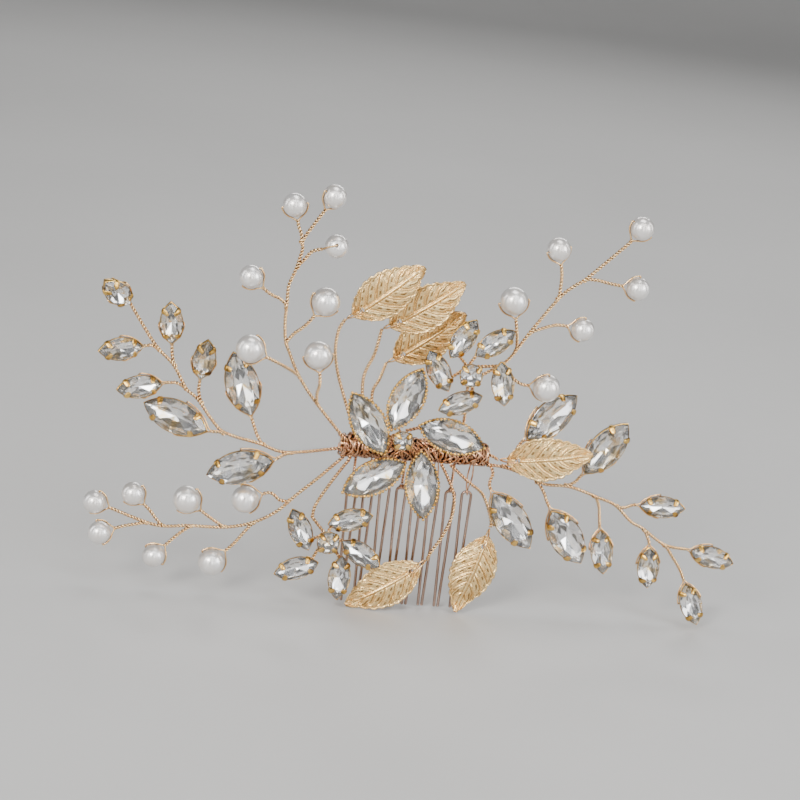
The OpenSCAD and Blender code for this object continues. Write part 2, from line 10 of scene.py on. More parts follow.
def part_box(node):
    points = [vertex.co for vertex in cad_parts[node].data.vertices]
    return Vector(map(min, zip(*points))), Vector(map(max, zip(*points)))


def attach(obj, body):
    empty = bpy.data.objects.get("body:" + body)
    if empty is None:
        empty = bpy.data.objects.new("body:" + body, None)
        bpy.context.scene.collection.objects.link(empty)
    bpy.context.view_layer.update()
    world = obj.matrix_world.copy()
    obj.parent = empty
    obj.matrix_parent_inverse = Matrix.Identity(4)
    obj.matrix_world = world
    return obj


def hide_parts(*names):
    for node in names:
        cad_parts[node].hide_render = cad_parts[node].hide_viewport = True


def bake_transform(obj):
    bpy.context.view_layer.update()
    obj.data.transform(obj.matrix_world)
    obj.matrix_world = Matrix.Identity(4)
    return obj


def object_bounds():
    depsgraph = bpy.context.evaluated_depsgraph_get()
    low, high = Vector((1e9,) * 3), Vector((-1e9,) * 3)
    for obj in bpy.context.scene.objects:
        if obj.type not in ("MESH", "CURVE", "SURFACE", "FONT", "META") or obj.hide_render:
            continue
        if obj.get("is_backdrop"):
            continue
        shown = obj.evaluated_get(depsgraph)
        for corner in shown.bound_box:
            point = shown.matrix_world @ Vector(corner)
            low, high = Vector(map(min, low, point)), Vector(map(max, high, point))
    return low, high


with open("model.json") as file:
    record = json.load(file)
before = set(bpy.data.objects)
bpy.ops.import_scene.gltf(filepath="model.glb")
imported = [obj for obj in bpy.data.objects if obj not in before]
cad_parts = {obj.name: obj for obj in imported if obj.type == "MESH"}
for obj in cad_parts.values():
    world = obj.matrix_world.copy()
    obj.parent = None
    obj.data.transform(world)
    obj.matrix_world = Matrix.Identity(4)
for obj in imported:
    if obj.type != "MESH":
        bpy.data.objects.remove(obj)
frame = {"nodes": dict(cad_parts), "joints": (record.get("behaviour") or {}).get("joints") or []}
cad_low, cad_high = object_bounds()

MM = 0.001
TURN = 2 * math.pi

# ---- sizes, in metres ----
STRAND = 0.19 * MM            # radius of one strand of stem wire
PAIR_LAY = 0.22 * MM           # from a twisted pair's middle to each strand's middle
PAIR_PITCH = 1.5 * MM         # one whole turn of a twisted pair
FINE, FINER = 0.25 * MM, 0.15 * MM      # steps along a stem and along a small loop
SPOKE_OVERRUN = 1.1 * MM
NECK_GAP = 0.75 * MM          # from a pearl to the neck of its loop
BORE_WIRE = 0.19 * MM         # radius of the strand through a pearl or a leaf
GIRDLE = 0.12 * MM            # half the height of a stone's girdle
CROWN_SHARE = 0.42            # height of a navette's crown, as a share of its half width
PAVILION_SHARE = 0.56         # depth of its pavilion
CROWN_SLOPE, CROWN_EDGE_SLOPE, STAR_SLOPE, PAVILION_EDGE_SLOPE = (math.radians(w) for w in (39, 50, 22, 48))
CLAW_WIDTH = 1.3 * MM
CLAW_SHEET = 0.26 * MM
BEAD = 0.35 * MM              # radius of a bead of the main petals' rims
BEAD_SPACING = 0.8 * MM
LEAF_LENGTH = 18 * MM
LEAF_WIDTH = 9.6 * MM
LEAF_BACK = 2.3 * MM          # from a leaf's base to its eye
LEAF_EYE = 1.15 * MM
LEAF_BOW = 26 * MM
LEAF_SHEET = 0.3 * MM
WINDING_WIRE = 0.19 * MM      # radius of the copper binding wire
OUTER_WIRE = 0.25 * MM        # radius of the loose turns over it
WINDING_STEPS = 22            # points in one turn of a winding
LEFT_LUMP = 6 * MM            # reach of the extra turns at the left end
TIE_WIRE = 0.18 * MM          # radius of the ties' strands
FLOOR_GAP = 0.3 * MM          # from the tooth tips down to the floor

# ---- bodies and the nodes that they show ----
SPRAYS = {
    "left_crystal_spray": "left_stem",
    "right_crystal_spray": "right_stem",
    "upper_left_spray": "upper_left_wires",
    "lower_left_spray": "lower_left_wires",
    "upper_right_spray": "upper_right_wires",
    "lower_flower_spray": "lower_flower_stem",
}
FLOWERS = {"comb": "main", "upper_right_spray": "upper", "lower_flower_spray": "lower"}
STONES = [  # body, names of the gems and settings, and the stone and cup nodes that they replace
    ("left_crystal_spray", "left_crystals", "left_settings",
     ["left_small_stones", "left_large_stones"], ["left_cups"]),
    ("right_crystal_spray", "right_crystals", "right_settings",
     ["right_small_stones", "right_large_stones"], ["right_cups"]),
    *((body, f"{flower}_flower_crystals", f"{flower}_flower_settings",
       [f"{flower}_petal_stones", f"{flower}_centre_stone"], [f"{flower}_petal_cups", f"{flower}_centre_cup"])
      for body, flower in FLOWERS.items()),
]


# ---- node graphs, for materials and for geometry ----
class Graph:
    """Adds nodes to one node tree."""
    def __init__(self, tree):
        self.tree = tree

    def node(self, kind, settings=None, values=None):
        """One node: its settings come first, then a value or a link for each named or numbered socket."""
        made = self.tree.nodes.new(kind)
        for name, setting in (settings or {}).items():
            setattr(made, name, setting)
        for name, value in (values or {}).items():
            self.feed(made.inputs[name], value)
        return made

    def feed(self, socket, value):
        if isinstance(value, Level):
            value = value.socket
        if isinstance(value, bpy.types.NodeSocket):
            self.tree.links.new(value, socket)
        else:
            socket.default_value = value

    def level(self, kind, settings=None, values=None, out=0):
        """A node's output as something that takes part in sums."""
        return Level(self, self.node(kind, settings, values).outputs[out])

    def vector(self, operation, *values, out=0):
        made = self.node("ShaderNodeVectorMath", {"operation": operation}, dict(enumerate(values)))
        return made.outputs[out]

    def scaled(self, vector, length):
        made = self.node("ShaderNodeVectorMath", {"operation": "SCALE"}, {0: vector, "Scale": length})
        return made.outputs[0]

    def ramp(self, level, *stops):
        """A smooth change between stops of (place, colour or number)."""
        node = self.node("ShaderNodeValToRGB")
        places = node.color_ramp.elements
        while len(places) < len(stops):
            places.new(0.5)
        for place, (at, shade) in zip(places, stops):
            place.position = at
            place.color = (*shade, 1) if isinstance(shade, tuple) else (shade, shade, shade, 1)
        self.feed(node.inputs["Fac"], level)
        return node.outputs["Color"]

    def blend(self, share, first, second, mode="MIX"):
        """A mix of two colours."""
        node = self.node("ShaderNodeMix", {"data_type": "RGBA", "blend_type": mode})
        for socket, value in (("Factor", share), (6, first), (7, second)):
            opaque = isinstance(value, tuple) and len(value) == 3
            self.feed(node.inputs[socket], (*value, 1) if opaque else value)
        return node.outputs[2]


class Level:
    """A number that varies, with the usual signs."""

    def __init__(self, graph, socket):
        self.graph = graph
        self.socket = socket

    def maths(self, operation, *values):
        return self.graph.level("ShaderNodeMath", {"operation": operation}, dict(enumerate(values)))

    def __add__(self, other):
        return self.maths("ADD", self, other)

    def __radd__(self, other):
        return self.maths("ADD", other, self)

    def __sub__(self, other):
        return self.maths("SUBTRACT", self, other)

    def __rsub__(self, other):
        return self.maths("SUBTRACT", other, self)

    def __mul__(self, other):
        return self.maths("MULTIPLY", self, other)

    def __rmul__(self, other):
        return self.maths("MULTIPLY", other, self)

    def __truediv__(self, other):
        return self.maths("DIVIDE", self, other)

    def less(self, other):
        return self.maths("LESS_THAN", self, other)

    def size(self):
        return self.maths("ABSOLUTE", self)

    def part(self):
        return self.maths("FRACT", self)

    def between(self, low, high, to_low=0.0, to_high=1.0):
        return self.graph.level("ShaderNodeMapRange", {"interpolation_type": "SMOOTHSTEP"},
                                {0: self, 1: low, 2: high, 3: to_low, 4: to_high})


# ---- materials ----
class Finish(Graph):
    """A material under construction, with its Principled shader."""

    def __init__(self, name, **constants):
        self.material = bpy.data.materials.new(name)
        self.material.use_nodes = True
        super().__init__(self.material.node_tree)
        self.tree.nodes.clear()
        self.shader = self.node("ShaderNodeBsdfPrincipled")
        out = self.node("ShaderNodeOutputMaterial")
        self.tree.links.new(self.shader.outputs[0], out.inputs["Surface"])
        self.place = self.node("ShaderNodeTexCoord").outputs["Object"]
        for words, value in constants.items():
            name_of_socket = words.replace("_", " ")
            self.shader.inputs[name_of_socket].default_value = value

    def noise(self, scale, detail=3.0, place=None, stretch=None, rough=0.5):
        """A noise from 0 to 1; scale is in patches per metre."""
        place = place or self.place
        if stretch:
            place = self.vector("MULTIPLY", place, stretch)
        return self.level("ShaderNodeTexNoise", {"noise_dimensions": "3D"},
                          {"Vector": place, "Scale": scale, "Detail": detail, "Roughness": rough})

    def set(self, **values):
        for words, value in values.items():
            self.feed(self.shader.inputs[words.replace("_", " ")], value)

    def painted_crease_shade(self, shade, deep, reach=0.0005):
        """The shade, turning to a deeper one down in the gaps between strands: painted shade, from an ambient
        occlusion reading.
        """
        shut = self.node("ShaderNodeAmbientOcclusion", {"samples": 6}, {"Distance": reach}).outputs["AO"]
        return self.blend(Level(self, shut).between(0.42, 0.92), deep, shade)

    def bump(self, height, strength, distance):
        """Raises the surface by height times distance."""
        made = self.node("ShaderNodeBump", None,
                         {"Strength": strength, "Distance": distance, "Height": height})
        self.set(Normal=made.outputs[0])


def wire_gold():
    """Light gold plated wire that turns to copper near the binding."""
    f = Finish("light gold wire", Metallic=1.0)
    x, y, z = (Level(f, s) for s in f.node("ShaderNodeSeparateXYZ", None, {0: f.place}).outputs)
    low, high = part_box("binding_wire")
    middle = (low + high) / 2
    across = ((x - middle.x) * 0.62).size() + (z - middle.z).size()
    near = across.between(0.010, 0.022, 1.0, 0.0)
    patch = f.noise(900, 2)
    warm = f.ramp(patch, (0.3, (0.78, 0.48, 0.22)), (0.7, (0.96, 0.68, 0.36)))
    worn = f.blend(near * 0.5, warm, (0.74, 0.38, 0.20))
    # The gold turns dark brown down in the gaps between strands: painted shade.
    f.set(Base_Color=f.painted_crease_shade(worn, (0.20, 0.09, 0.03)), Roughness=f.noise(2500, 2) * 0.12 + 0.12)
    f.bump(f.noise(9000, 2), 0.25, 0.00004)
    return f.material


def copper():
    f = Finish("bright copper wire", Metallic=1.0)
    shade = f.ramp(f.noise(900, 3),
                   (0.32, (0.42, 0.19, 0.10)), (0.5, (0.72, 0.40, 0.23)), (0.7, (0.96, 0.66, 0.45)))
    # The copper turns near black down in the gaps between strands: painted shade.
    f.set(Base_Color=f.painted_crease_shade(shade, (0.13, 0.05, 0.025)), Roughness=f.noise(2600, 2) * 0.14 + 0.15)
    f.bump(f.noise(8000, 2), 0.3, 0.00004)
    return f.material


def rose_wire():
    """The comb's duller rose gold wire, drawn along its length."""
    f = Finish("rose gold comb wire", Metallic=1.0)
    drawn = f.noise(1500, 3, stretch=(3.0, 3.0, 0.12))
    shade = f.ramp(drawn, (0.3, (0.26, 0.17, 0.13)), (0.7, (0.55, 0.40, 0.33)))
    f.set(Base_Color=shade, Roughness=drawn * 0.18 + 0.16)
    f.bump(drawn, 0.2, 0.00003)
    return f.material


def setting_brass():
    f = Finish("yellow brass settings", Metallic=1.0)
    patch = f.noise(650, 4)
    shade = f.ramp(patch, (0.34, (0.16, 0.08, 0.02)), (0.46, (0.62, 0.37, 0.09)), (0.75, (0.92, 0.62, 0.20)))
    f.set(Base_Color=shade, Roughness=f.noise(2200, 2) * 0.18 + 0.14)
    f.bump(f.noise(5000, 3), 0.3, 0.00005)
    return f.material


def leaf_brass():
    """Pale gold sheet: bright veins with dark lines of painted shade beside them, and stamped dashes between
    the veins, also darkened with painted shade.
    """
    f = Finish("pale gold leaf", Metallic=1.0)

    def chart(name):
        uv = f.node("ShaderNodeUVMap", {"uv_map": name}).outputs[0]
        return [Level(f, s) for s in f.node("ShaderNodeSeparateXYZ", None, {0: uv}).outputs][:2]

    (row, across), (side, _) = chart("veins"), chart("edge")
    from_vein = (row.part() - 0.5).size()
    open_field = across.between(0.5, 0.9) * side.between(0.80, 0.88, 1.0, 0.0)
    dash = from_vein.between(0.36, 0.42) * ((across / 1.3 + row * 0.37).part() - 0.5).size().less(0.25)
    dash = dash * open_field
    beside = (row.part() - 0.66).size().between(0.03, 0.08, 1.0, 0.0) * across.between(0.3, 0.6)
    beside = beside * side.between(0.86, 0.92, 1.0, 0.0)
    inner_rim = (side - 0.87).size().between(0.015, 0.04, 1.0, 0.0)
    beside_rib = (across - 0.42).size().between(0.05, 0.14, 1.0, 0.0)
    # The gold turns dark brown beside the veins, inside the rim, beside the midrib and in the dashes: painted
    # shade in these grooves. The same mask also lowers the bump there.
    grooves_and_painted_shade = beside.maths("MAXIMUM", beside * 0.5, inner_rim * 0.45)
    grooves_and_painted_shade = grooves_and_painted_shade.maths("MAXIMUM", grooves_and_painted_shade, beside_rib * 0.5)
    grooves_and_painted_shade = grooves_and_painted_shade.maths("MAXIMUM", grooves_and_painted_shade, dash * 0.85)
    patch = f.noise(500, 3)
    gold = f.ramp(patch, (0.3, (0.86, 0.56, 0.23)), (0.7, (0.99, 0.74, 0.37)))
    f.set(Base_Color=f.blend(grooves_and_painted_shade, gold, (0.24, 0.13, 0.04)), Roughness=f.noise(3000, 2) * 0.16 + 0.20)
    f.bump(f.noise(2600, 2) * 0.6 - grooves_and_painted_shade, 0.7, 0.0001)
    return f.material


def pearl_coat():
    f = Finish("ivory pearl coating", Metallic=0.7, IOR=1.62, Coat_Roughness=0.04, Specular_IOR_Level=0.6)
    cloud = f.noise(260, 3)
    shade = f.ramp(cloud, (0.3, (0.78, 0.73, 0.68)), (0.55, (0.84, 0.815, 0.79)), (0.8, (0.81, 0.805, 0.82)))
    f.set(Base_Color=shade, Roughness=f.noise(1800, 2) * 0.08 + 0.26, Coat_Weight=f.noise(900, 1) * 0.2 + 0.5)
    f.bump(f.noise(3500, 3), 0.12, 0.00004)
    return f.material


def cut_glass():
    f = Finish("cut crystal", Transmission_Weight=1.0, IOR=1.56, Specular_IOR_Level=0.5)
    haze = f.noise(300, 2)
    shade = f.ramp(haze, (0.35, (0.97, 0.975, 0.985)), (0.65, (0.995, 0.995, 1.0)))
    f.set(Base_Color=shade, Roughness=haze * 0.015)
    return f.material


def foil():
    """The bright foil behind a stone, which shows through the glass facet by facet, with gold patches in
    places: painted reflections of the gold settings.
    """
    f = Finish("stone foil", Metallic=0.9)
    patch = f.noise(330, 3)
    # The last stop turns patches of the foil gold: painted reflections of the gold settings.
    shade = f.ramp(patch, (0.30, (0.88, 0.88, 0.88)), (0.5, (0.99, 0.99, 0.99)), (0.59, (0.98, 0.94, 0.85)),
                   (0.67, (0.88, 0.66, 0.34)))
    f.set(Base_Color=shade, Roughness=patch * 0.1 + 0.05)
    return f.material


def studio_floor():
    f = Finish("pale floor")
    patch = f.noise(6, 3)
    f.set(Base_Color=f.ramp(patch, (0.3, (0.44, 0.436, 0.428)), (0.7, (0.47, 0.466, 0.458))),
          Roughness=f.noise(300, 2) * 0.1 + 0.5)
    f.bump(f.noise(900, 3), 0.05, 0.0003)
    return f.material


GOLD = wire_gold()
COPPER = copper()
ROSE = rose_wire()
BRASS = setting_brass()
LEAF = leaf_brass()
PEARL = pearl_coat()
GLASS = cut_glass()
FOIL = foil()


# ---- meshes ----
def new_piece(name, points, faces, materials, smooth=True, indices=None):
    """A mesh object whose place is in its mesh."""
    mesh = bpy.data.meshes.new(name)
    mesh.from_pydata([tuple(p) for p in points], [], [tuple(f) for f in faces])
    for material in materials:
        mesh.materials.append(material)
    mesh.polygons.foreach_set("use_smooth", [smooth] * len(mesh.polygons))
    if indices is not None:
        mesh.polygons.foreach_set("material_index", indices)
    mesh.update()
    made = bpy.data.objects.new(name, mesh)
    bpy.context.scene.collection.objects.link(made)
    return made


def point_outwards(piece):
    bm = bmesh.new()
    bm.from_mesh(piece.data)
    bmesh.ops.recalc_face_normals(bm, faces=bm.faces)
    bm.to_mesh(piece.data)
    bm.free()
    return piece


class Heap:
    """Collects the points and faces of several shapes for one mesh."""

    def __init__(self):
        self.points = []
        self.faces = []
        self.indices = []

    def add(self, points, faces, index=0):
        start = len(self.points)
        self.points += [Vector(p) for p in points]
        self.faces += [[start + i for i in face] for face in faces]
        self.indices += [index] * len(faces)

    def piece(self, name, materials, smooth=True):
        return new_piece(name, self.points, self.faces, materials, smooth, self.indices)


def lofted(rings, closed=True, caps=True):
    """Faces through rings of equal count; closed joins each ring's ends."""
    count = len(rings[0])
    faces = []
    for i in range(len(rings) - 1):
        for k in range(count if closed else count - 1):
            j = (k + 1) % count
            faces.append([i * count + k, i * count + j, (i + 1) * count + j, (i + 1) * count + k])
    if caps:
        last = (len(rings) - 1) * count
        faces.append(list(reversed(range(count))))
        faces.append([last + k for k in range(count)])
    return [p for ring in rings for p in ring], faces


def smooth_line(points, step):
    """An even row of points along a Catmull-Rom curve through points."""
    p = [Vector(q) for q in points]
    if len(p) == 2:
        p = [p[0], (p[0] + p[1]) / 2, p[1]]
    p = [2 * p[0] - p[1], *p, 2 * p[-1] - p[-2]]
    line = []
    for a, b, c, d in zip(p, p[1:], p[2:], p[3:]):
        count = max(1, round((c - b).length / step))
        for k in range(count):
            t = k / count
            line.append(0.5 * (2 * b + (c - a) * t + (2 * a - 5 * b + 4 * c - d) * t * t
                               + (3 * b - a - 3 * c + d) * t * t * t))
    return [*line, p[-2]]


# ---- reading the frame ----
def solids(node):
    """Each separate solid of a CAD node, as a list of bmesh vertices whose doubles are merged."""
    bm = bmesh.new()
    bm.from_mesh(frame["nodes"][node].data)
    bmesh.ops.remove_doubles(bm, verts=bm.verts, dist=0.002 * MM)
    bm.normal_update()
    groups, seen = [], set()
    for start in bm.verts:
        if start in seen:
            continue
        group, front = [], [start]
        seen.add(start)
        while front:
            v = front.pop()
            group.append(v)
            for e in v.link_edges:
                other = e.other_vert(v)
                if other not in seen:
                    seen.add(other)
                    front.append(other)
        groups.append(group)
    return bm, groups


def tube_end(group, sides):
    """The flat end ring of a tube: the vertices of the faces that share one vertex and one plane."""
    for v in group:
        for face in v.link_faces:
            flat = [f for f in v.link_faces if f.normal.dot(face.normal) > 0.9999]
            ring = {w for f in flat for w in f.verts}
            if len(flat) == sides - 2 and len(ring) == sides:
                middle = sum((w.co for w in ring), Vector()) / sides
                reach = [(w.co - middle).length for w in ring]
                if max(reach) - min(reach) < 0.02 * max(reach):
                    return ring
    return None


def centre_line(group, sides=8):
    """The middles of a tube's rings from one end to the other, or None for a solid that isn't a tube."""
    ring = tube_end(group, sides)
    if ring is None or len(group) % sides:
        return None
    seen, line = set(ring), []
    while ring:
        if len(ring) != sides:
            return None
        line.append(sum((v.co for v in ring), Vector()) / sides)
        ring = {e.other_vert(v) for v in ring for e in v.link_edges} - seen
        seen |= ring
    return line


def read_wires(node):
    """A node's tubes as centre lines, and its other solids as lists of points."""
    bm, groups = solids(node)
    lines, others = [], []
    for group in groups:
        line = centre_line(group)
        if line:
            lines.append(line)
        else:
            others.append([v.co.copy() for v in group])
    bm.free()
    return lines, others


class Stone:
    """Where a CAD stone lies: its middle, long, cross and outward directions, and half length and width."""

    def __init__(self, points):
        p = np.array([tuple(q) for q in points])
        _, axes = np.linalg.eigh(np.cov((p - p.mean(0)).T))
        out = Vector(axes[:, 0])
        long = Vector(axes[:, 2])
        if out.y > 0:
            out = -out
        reach = [q.dot(long) for q in points]
        self.half_length = (max(reach) - min(reach)) / 2
        low, high = min(reach) + 0.05 * MM, max(reach) - 0.05 * MM
        tips = [q for q in points if not low <= q.dot(long) <= high]
        rim = sum(q.dot(out) for q in tips) / len(tips)
        cross = out.cross(long)
        sides = [q.dot(cross) for q in points]
        self.half_width = (max(sides) - min(sides)) / 2
        middle = Vector(p.mean(0))
        self.middle = (middle + long * ((max(reach) + min(reach)) / 2 - middle.dot(long))
                       + cross * ((max(sides) + min(sides)) / 2 - middle.dot(cross))
                       + out * (rim - middle.dot(out)))
        self.round = self.half_length < 1.2 * self.half_width
        self.long, self.cross, self.out = long, cross, out

    def face(self, away):
        """Turns the stone's long direction to point away from a place."""
        if (self.middle - away).dot(self.long) < 0:
            self.long = -self.long
            self.cross = -self.cross

    def place(self, x, y, z):
        return self.middle + self.long * x + self.cross * y + self.out * z


def read_stones(nodes):
    found = []
    for node in nodes:
        bm, groups = solids(node)
        found += [Stone([v.co.copy() for v in group]) for group in groups]
        bm.free()
    return found


# ---- geometry nodes: what repeats or follows a path ----
def new_tree(name, sizes):
    """A geometry tree with named inputs; sizes holds (name, socket kind, first value)."""
    tree = bpy.data.node_groups.new(name, "GeometryNodeTree")
    tree.interface.new_socket("Geometry", in_out="INPUT", socket_type="NodeSocketGeometry")
    for words, kind, value in sizes:
        made = tree.interface.new_socket(words, in_out="INPUT", socket_type=kind)
        if value is not None:
            made.default_value = value
    tree.interface.new_socket("Geometry", in_out="OUTPUT", socket_type="NodeSocketGeometry")
    graph = Graph(tree)
    given = graph.node("NodeGroupInput").outputs
    return graph, given


def end_tree(graph, given, geometry):
    """Every tree ends in Realize Instances and Set Material."""
    real = graph.node("GeometryNodeRealizeInstances", None, {0: geometry}).outputs[0]
    smooth = graph.node("GeometryNodeSetShadeSmooth", None, {"Geometry": real}).outputs[0]
    painted = graph.node("GeometryNodeSetMaterial", None, {"Geometry": smooth, "Material": given["Material"]})
    out = graph.node("NodeGroupOutput")
    graph.tree.links.new(painted.outputs[0], out.inputs[0])
    return graph.tree


def swept(graph, curve, radius, sides):
    profile = graph.node("GeometryNodeCurvePrimitiveCircle", {"mode": "RADIUS"},
                         {"Resolution": sides, "Radius": radius})
    return graph.node("GeometryNodeCurveToMesh", None,
                      {"Curve": curve, "Profile Curve": profile.outputs[0], "Fill Caps": True}).outputs[0]


def even_curve(graph, given, step):
    """The input's lines as curves with a point at every step."""
    curve = graph.node("GeometryNodeMeshToCurve", None, {0: given["Geometry"]}).outputs[0]
    even = graph.node("GeometryNodeResampleCurve", {"mode": "LENGTH"}, {"Curve": curve, "Length": step})
    return even.outputs[0]


def around_line(graph, angle, radius):
    """The move that lays a point at an angle and a radius round its line, and the line's direction."""
    normal = graph.node("GeometryNodeInputNormal").outputs[0]
    tangent = graph.node("GeometryNodeInputTangent").outputs[0]
    side = graph.vector("CROSS_PRODUCT", tangent, normal)
    ahead = graph.scaled(normal, angle.maths("COSINE", angle) * radius)
    return graph.vector("ADD", ahead, graph.scaled(side, angle.maths("SINE", angle) * radius)), tangent


def moved(graph, geometry, shift):
    return graph.node("GeometryNodeSetPosition", None, {"Geometry": geometry, "Offset": shift}).outputs[0]


def strand_tree():
    """Sweeps a round wire along each line."""
    graph, given = new_tree("strands", [
        ("Wire radius", "NodeSocketFloat", STRAND), ("Step", "NodeSocketFloat", 0.0002),
        ("Sides", "NodeSocketInt", 8), ("Material", "NodeSocketMaterial", None)])
    even = even_curve(graph, given, given["Step"])
    return end_tree(graph, given, swept(graph, even, given["Wire radius"], given["Sides"]))


def twist_tree():
    """Two or more strands laid round each line."""
    graph, given = new_tree("twisted strands", [
        ("Wire radius", "NodeSocketFloat", STRAND), ("Lay", "NodeSocketFloat", PAIR_LAY),
        ("Pitch", "NodeSocketFloat", PAIR_PITCH), ("Strands", "NodeSocketInt", 2),
        ("Steps in a turn", "NodeSocketInt", 12), ("Sides", "NodeSocketInt", 8),
        ("Material", "NodeSocketMaterial", None)])
    pitch = Level(graph, given["Pitch"])
    even = even_curve(graph, given, pitch / given["Steps in a turn"])
    copies = graph.node("GeometryNodeDuplicateElements", {"domain": "SPLINE"},
                        {0: even, "Amount": given["Strands"]})
    number = Level(graph, copies.outputs["Duplicate Index"])
    length = Level(graph, graph.node("GeometryNodeSplineParameter").outputs["Length"])
    angle = length / pitch * TURN + number * TURN / given["Strands"]
    shift, _ = around_line(graph, angle, given["Lay"])
    laid = moved(graph, copies.outputs[0], shift)
    return end_tree(graph, given, swept(graph, laid, given["Wire radius"], given["Sides"]))


def winding_tree():
    """A wire wound round each straight line of the input, with a wobble so that no two turns lie alike."""
    graph, given = new_tree("winding", [
        ("Wire radius", "NodeSocketFloat", WINDING_WIRE), ("Coil radius", "NodeSocketFloat", 0.002),
        ("Pitch", "NodeSocketFloat", 0.0004), ("Wobble", "NodeSocketFloat", 0.0001),
        ("Slide", "NodeSocketFloat", 0.0003), ("Seed", "NodeSocketFloat", 0.0), ("Sides", "NodeSocketInt", 7),
        ("Material", "NodeSocketMaterial", None)])
    pitch = Level(graph, given["Pitch"])
    even = even_curve(graph, given, pitch / WINDING_STEPS)
    length = Level(graph, graph.node("GeometryNodeSplineParameter").outputs["Length"])
    angle = length / pitch * TURN
    ring = graph.node("ShaderNodeCombineXYZ", None,
                      {0: angle.maths("COSINE", angle) * 1.3, 1: angle.maths("SINE", angle) * 1.3,
                       2: length / pitch * 0.9 + given["Seed"]}).outputs[0]
    wobble = graph.node("ShaderNodeTexNoise", {"noise_dimensions": "3D"},
                        {"Vector": ring, "Scale": 1.0, "Detail": 1.0})
    rise, drift, _ = (Level(graph, s) for s in graph.node(
        "ShaderNodeSeparateXYZ", None, {0: wobble.outputs["Color"]}).outputs)
    radius = Level(graph, given["Coil radius"]) + (rise - 0.5) * 2 * given["Wobble"]
    out, tangent = around_line(graph, angle, radius)
    slid = graph.scaled(tangent, (drift - 0.5) * 2 * given["Slide"])
    laid = moved(graph, even, graph.vector("ADD", out, slid))
    return end_tree(graph, given, swept(graph, laid, given["Wire radius"], given["Sides"]))


def bead_tree():
    """Rounded beads side by side along each line, no two quite alike."""
    graph, given = new_tree("beads", [
        ("Bead radius", "NodeSocketFloat", 0.0003), ("Spacing", "NodeSocketFloat", 0.0006),
        ("Seed", "NodeSocketInt", 4), ("Material", "NodeSocketMaterial", None)])
    even = even_curve(graph, given, given["Spacing"])
    bead = graph.node("GeometryNodeMeshIcoSphere", None, {"Radius": given["Bead radius"], "Subdivisions": 2})
    size = graph.node("FunctionNodeRandomValue", {"data_type": "FLOAT"},
                      {2: 0.82, 3: 1.12, "Seed": given["Seed"]})
    turn = graph.node("FunctionNodeRandomValue", {"data_type": "FLOAT_VECTOR"}, {0: (0, 0, 0), 1: (6, 6, 6)})
    laid = graph.node("GeometryNodeInstanceOnPoints", None,
                      {"Points": even, "Instance": bead.outputs[0], "Rotation": turn.outputs[0],
                       "Scale": size.outputs[1]}).outputs[0]
    return end_tree(graph, given, laid)


STRANDS = strand_tree()
TWISTED = twist_tree()
WINDING = winding_tree()
BEADED = bead_tree()


def grow(name, lines, tree, material, **sizes):
    """Runs a geometry tree over lines of points and returns the plain mesh that it makes."""
    points = [p for line in lines for p in line]
    edges, start = [], 0
    for line in lines:
        edges += [(start + k, start + k + 1) for k in range(len(line) - 1)]
        start += len(line)
    mesh = bpy.data.meshes.new(name + "_lines")
    mesh.from_pydata([tuple(p) for p in points], edges, [])
    made = bpy.data.objects.new(name, mesh)
    bpy.context.scene.collection.objects.link(made)
    modifier = made.modifiers.new("Grow", "NODES")
    modifier.node_group = tree
    sizes = {"Material": material, **{words.replace("_", " "): value for words, value in sizes.items()}}
    for item in tree.interface.items_tree:
        if item.in_out == "INPUT" and item.name in sizes:
            modifier[item.identifier] = sizes[item.name]
    graph = bpy.context.evaluated_depsgraph_get()
    real = bpy.data.meshes.new_from_object(made.evaluated_get(graph))
    made.modifiers.remove(modifier)
    made.data = real
    real.name = name
    bpy.data.meshes.remove(mesh)
    return made


def mounted(piece, body, slot, *replaced):
    """Gives a finished piece its body, and takes away the CAD nodes that it shows instead. The slot is not
    used.
    """
    if replaced:
        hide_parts(*replaced)
    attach(piece, body)


def join(name, pieces):
    """Several mesh objects as one, under one name."""
    bpy.ops.object.select_all(action="DESELECT")
    for p in pieces:
        p.select_set(True)
    bpy.context.view_layer.objects.active = pieces[0]
    if len(pieces) > 1:
        bpy.ops.object.join()
    pieces[0].name = name
    pieces[0].data.name = name
    return pieces[0]


# ---- the camera, first ----
CAMERA_ANGLES = (-8, 18, 6.93)          # round the comb, above the floor, and the lean, in degrees
CAMERA_TARGET = (-3.6, 6.2, 17.4)       # in mm
CAMERA_DISTANCE = 483 * MM


def make_camera():
    """Looks at the comb from a little left of its front and above, with the top leaning to the right."""
    cam = bpy.data.objects.new("camera", bpy.data.cameras.new("camera"))
    bpy.context.scene.collection.objects.link(cam)
    azimuth, height, roll = (math.radians(angle) for angle in CAMERA_ANGLES)
    target = Vector(CAMERA_TARGET) * MM
    level = math.cos(height)
    back = Vector((math.sin(azimuth) * level, -math.cos(azimuth) * level, math.sin(height)))
    cam.location = target + back * CAMERA_DISTANCE
    cam.rotation_mode = "QUATERNION"
    upright = (-back).to_track_quat("-Z", "Y").to_matrix()
    cam.rotation_quaternion = (upright @ Matrix.Rotation(roll, 3, "Z")).to_quaternion()
    cam.data.lens = 100
    cam.data.sensor_width = 36
    cam.data.clip_start, cam.data.clip_end = 0.01, 20
    bpy.context.scene.camera = cam


make_camera()


# ---- stems: twisted pairs ----
def overrun(spokes):
    """Each spoke, begun a little before its first end."""
    return [[p[0] + (p[0] - p[1]).normalized() * SPOKE_OVERRUN, p[1]] for p in spokes]


def root_first(line):
    """The same line, started from the end nearer to the binding's middle."""
    low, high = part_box("binding_wire")
    middle = (low + high) / 2
    return line if (line[0] - middle).length < (line[-1] - middle).length else line[::-1]


def line_length(line):
    return sum((b - a).length for a, b in zip(line, line[1:]))


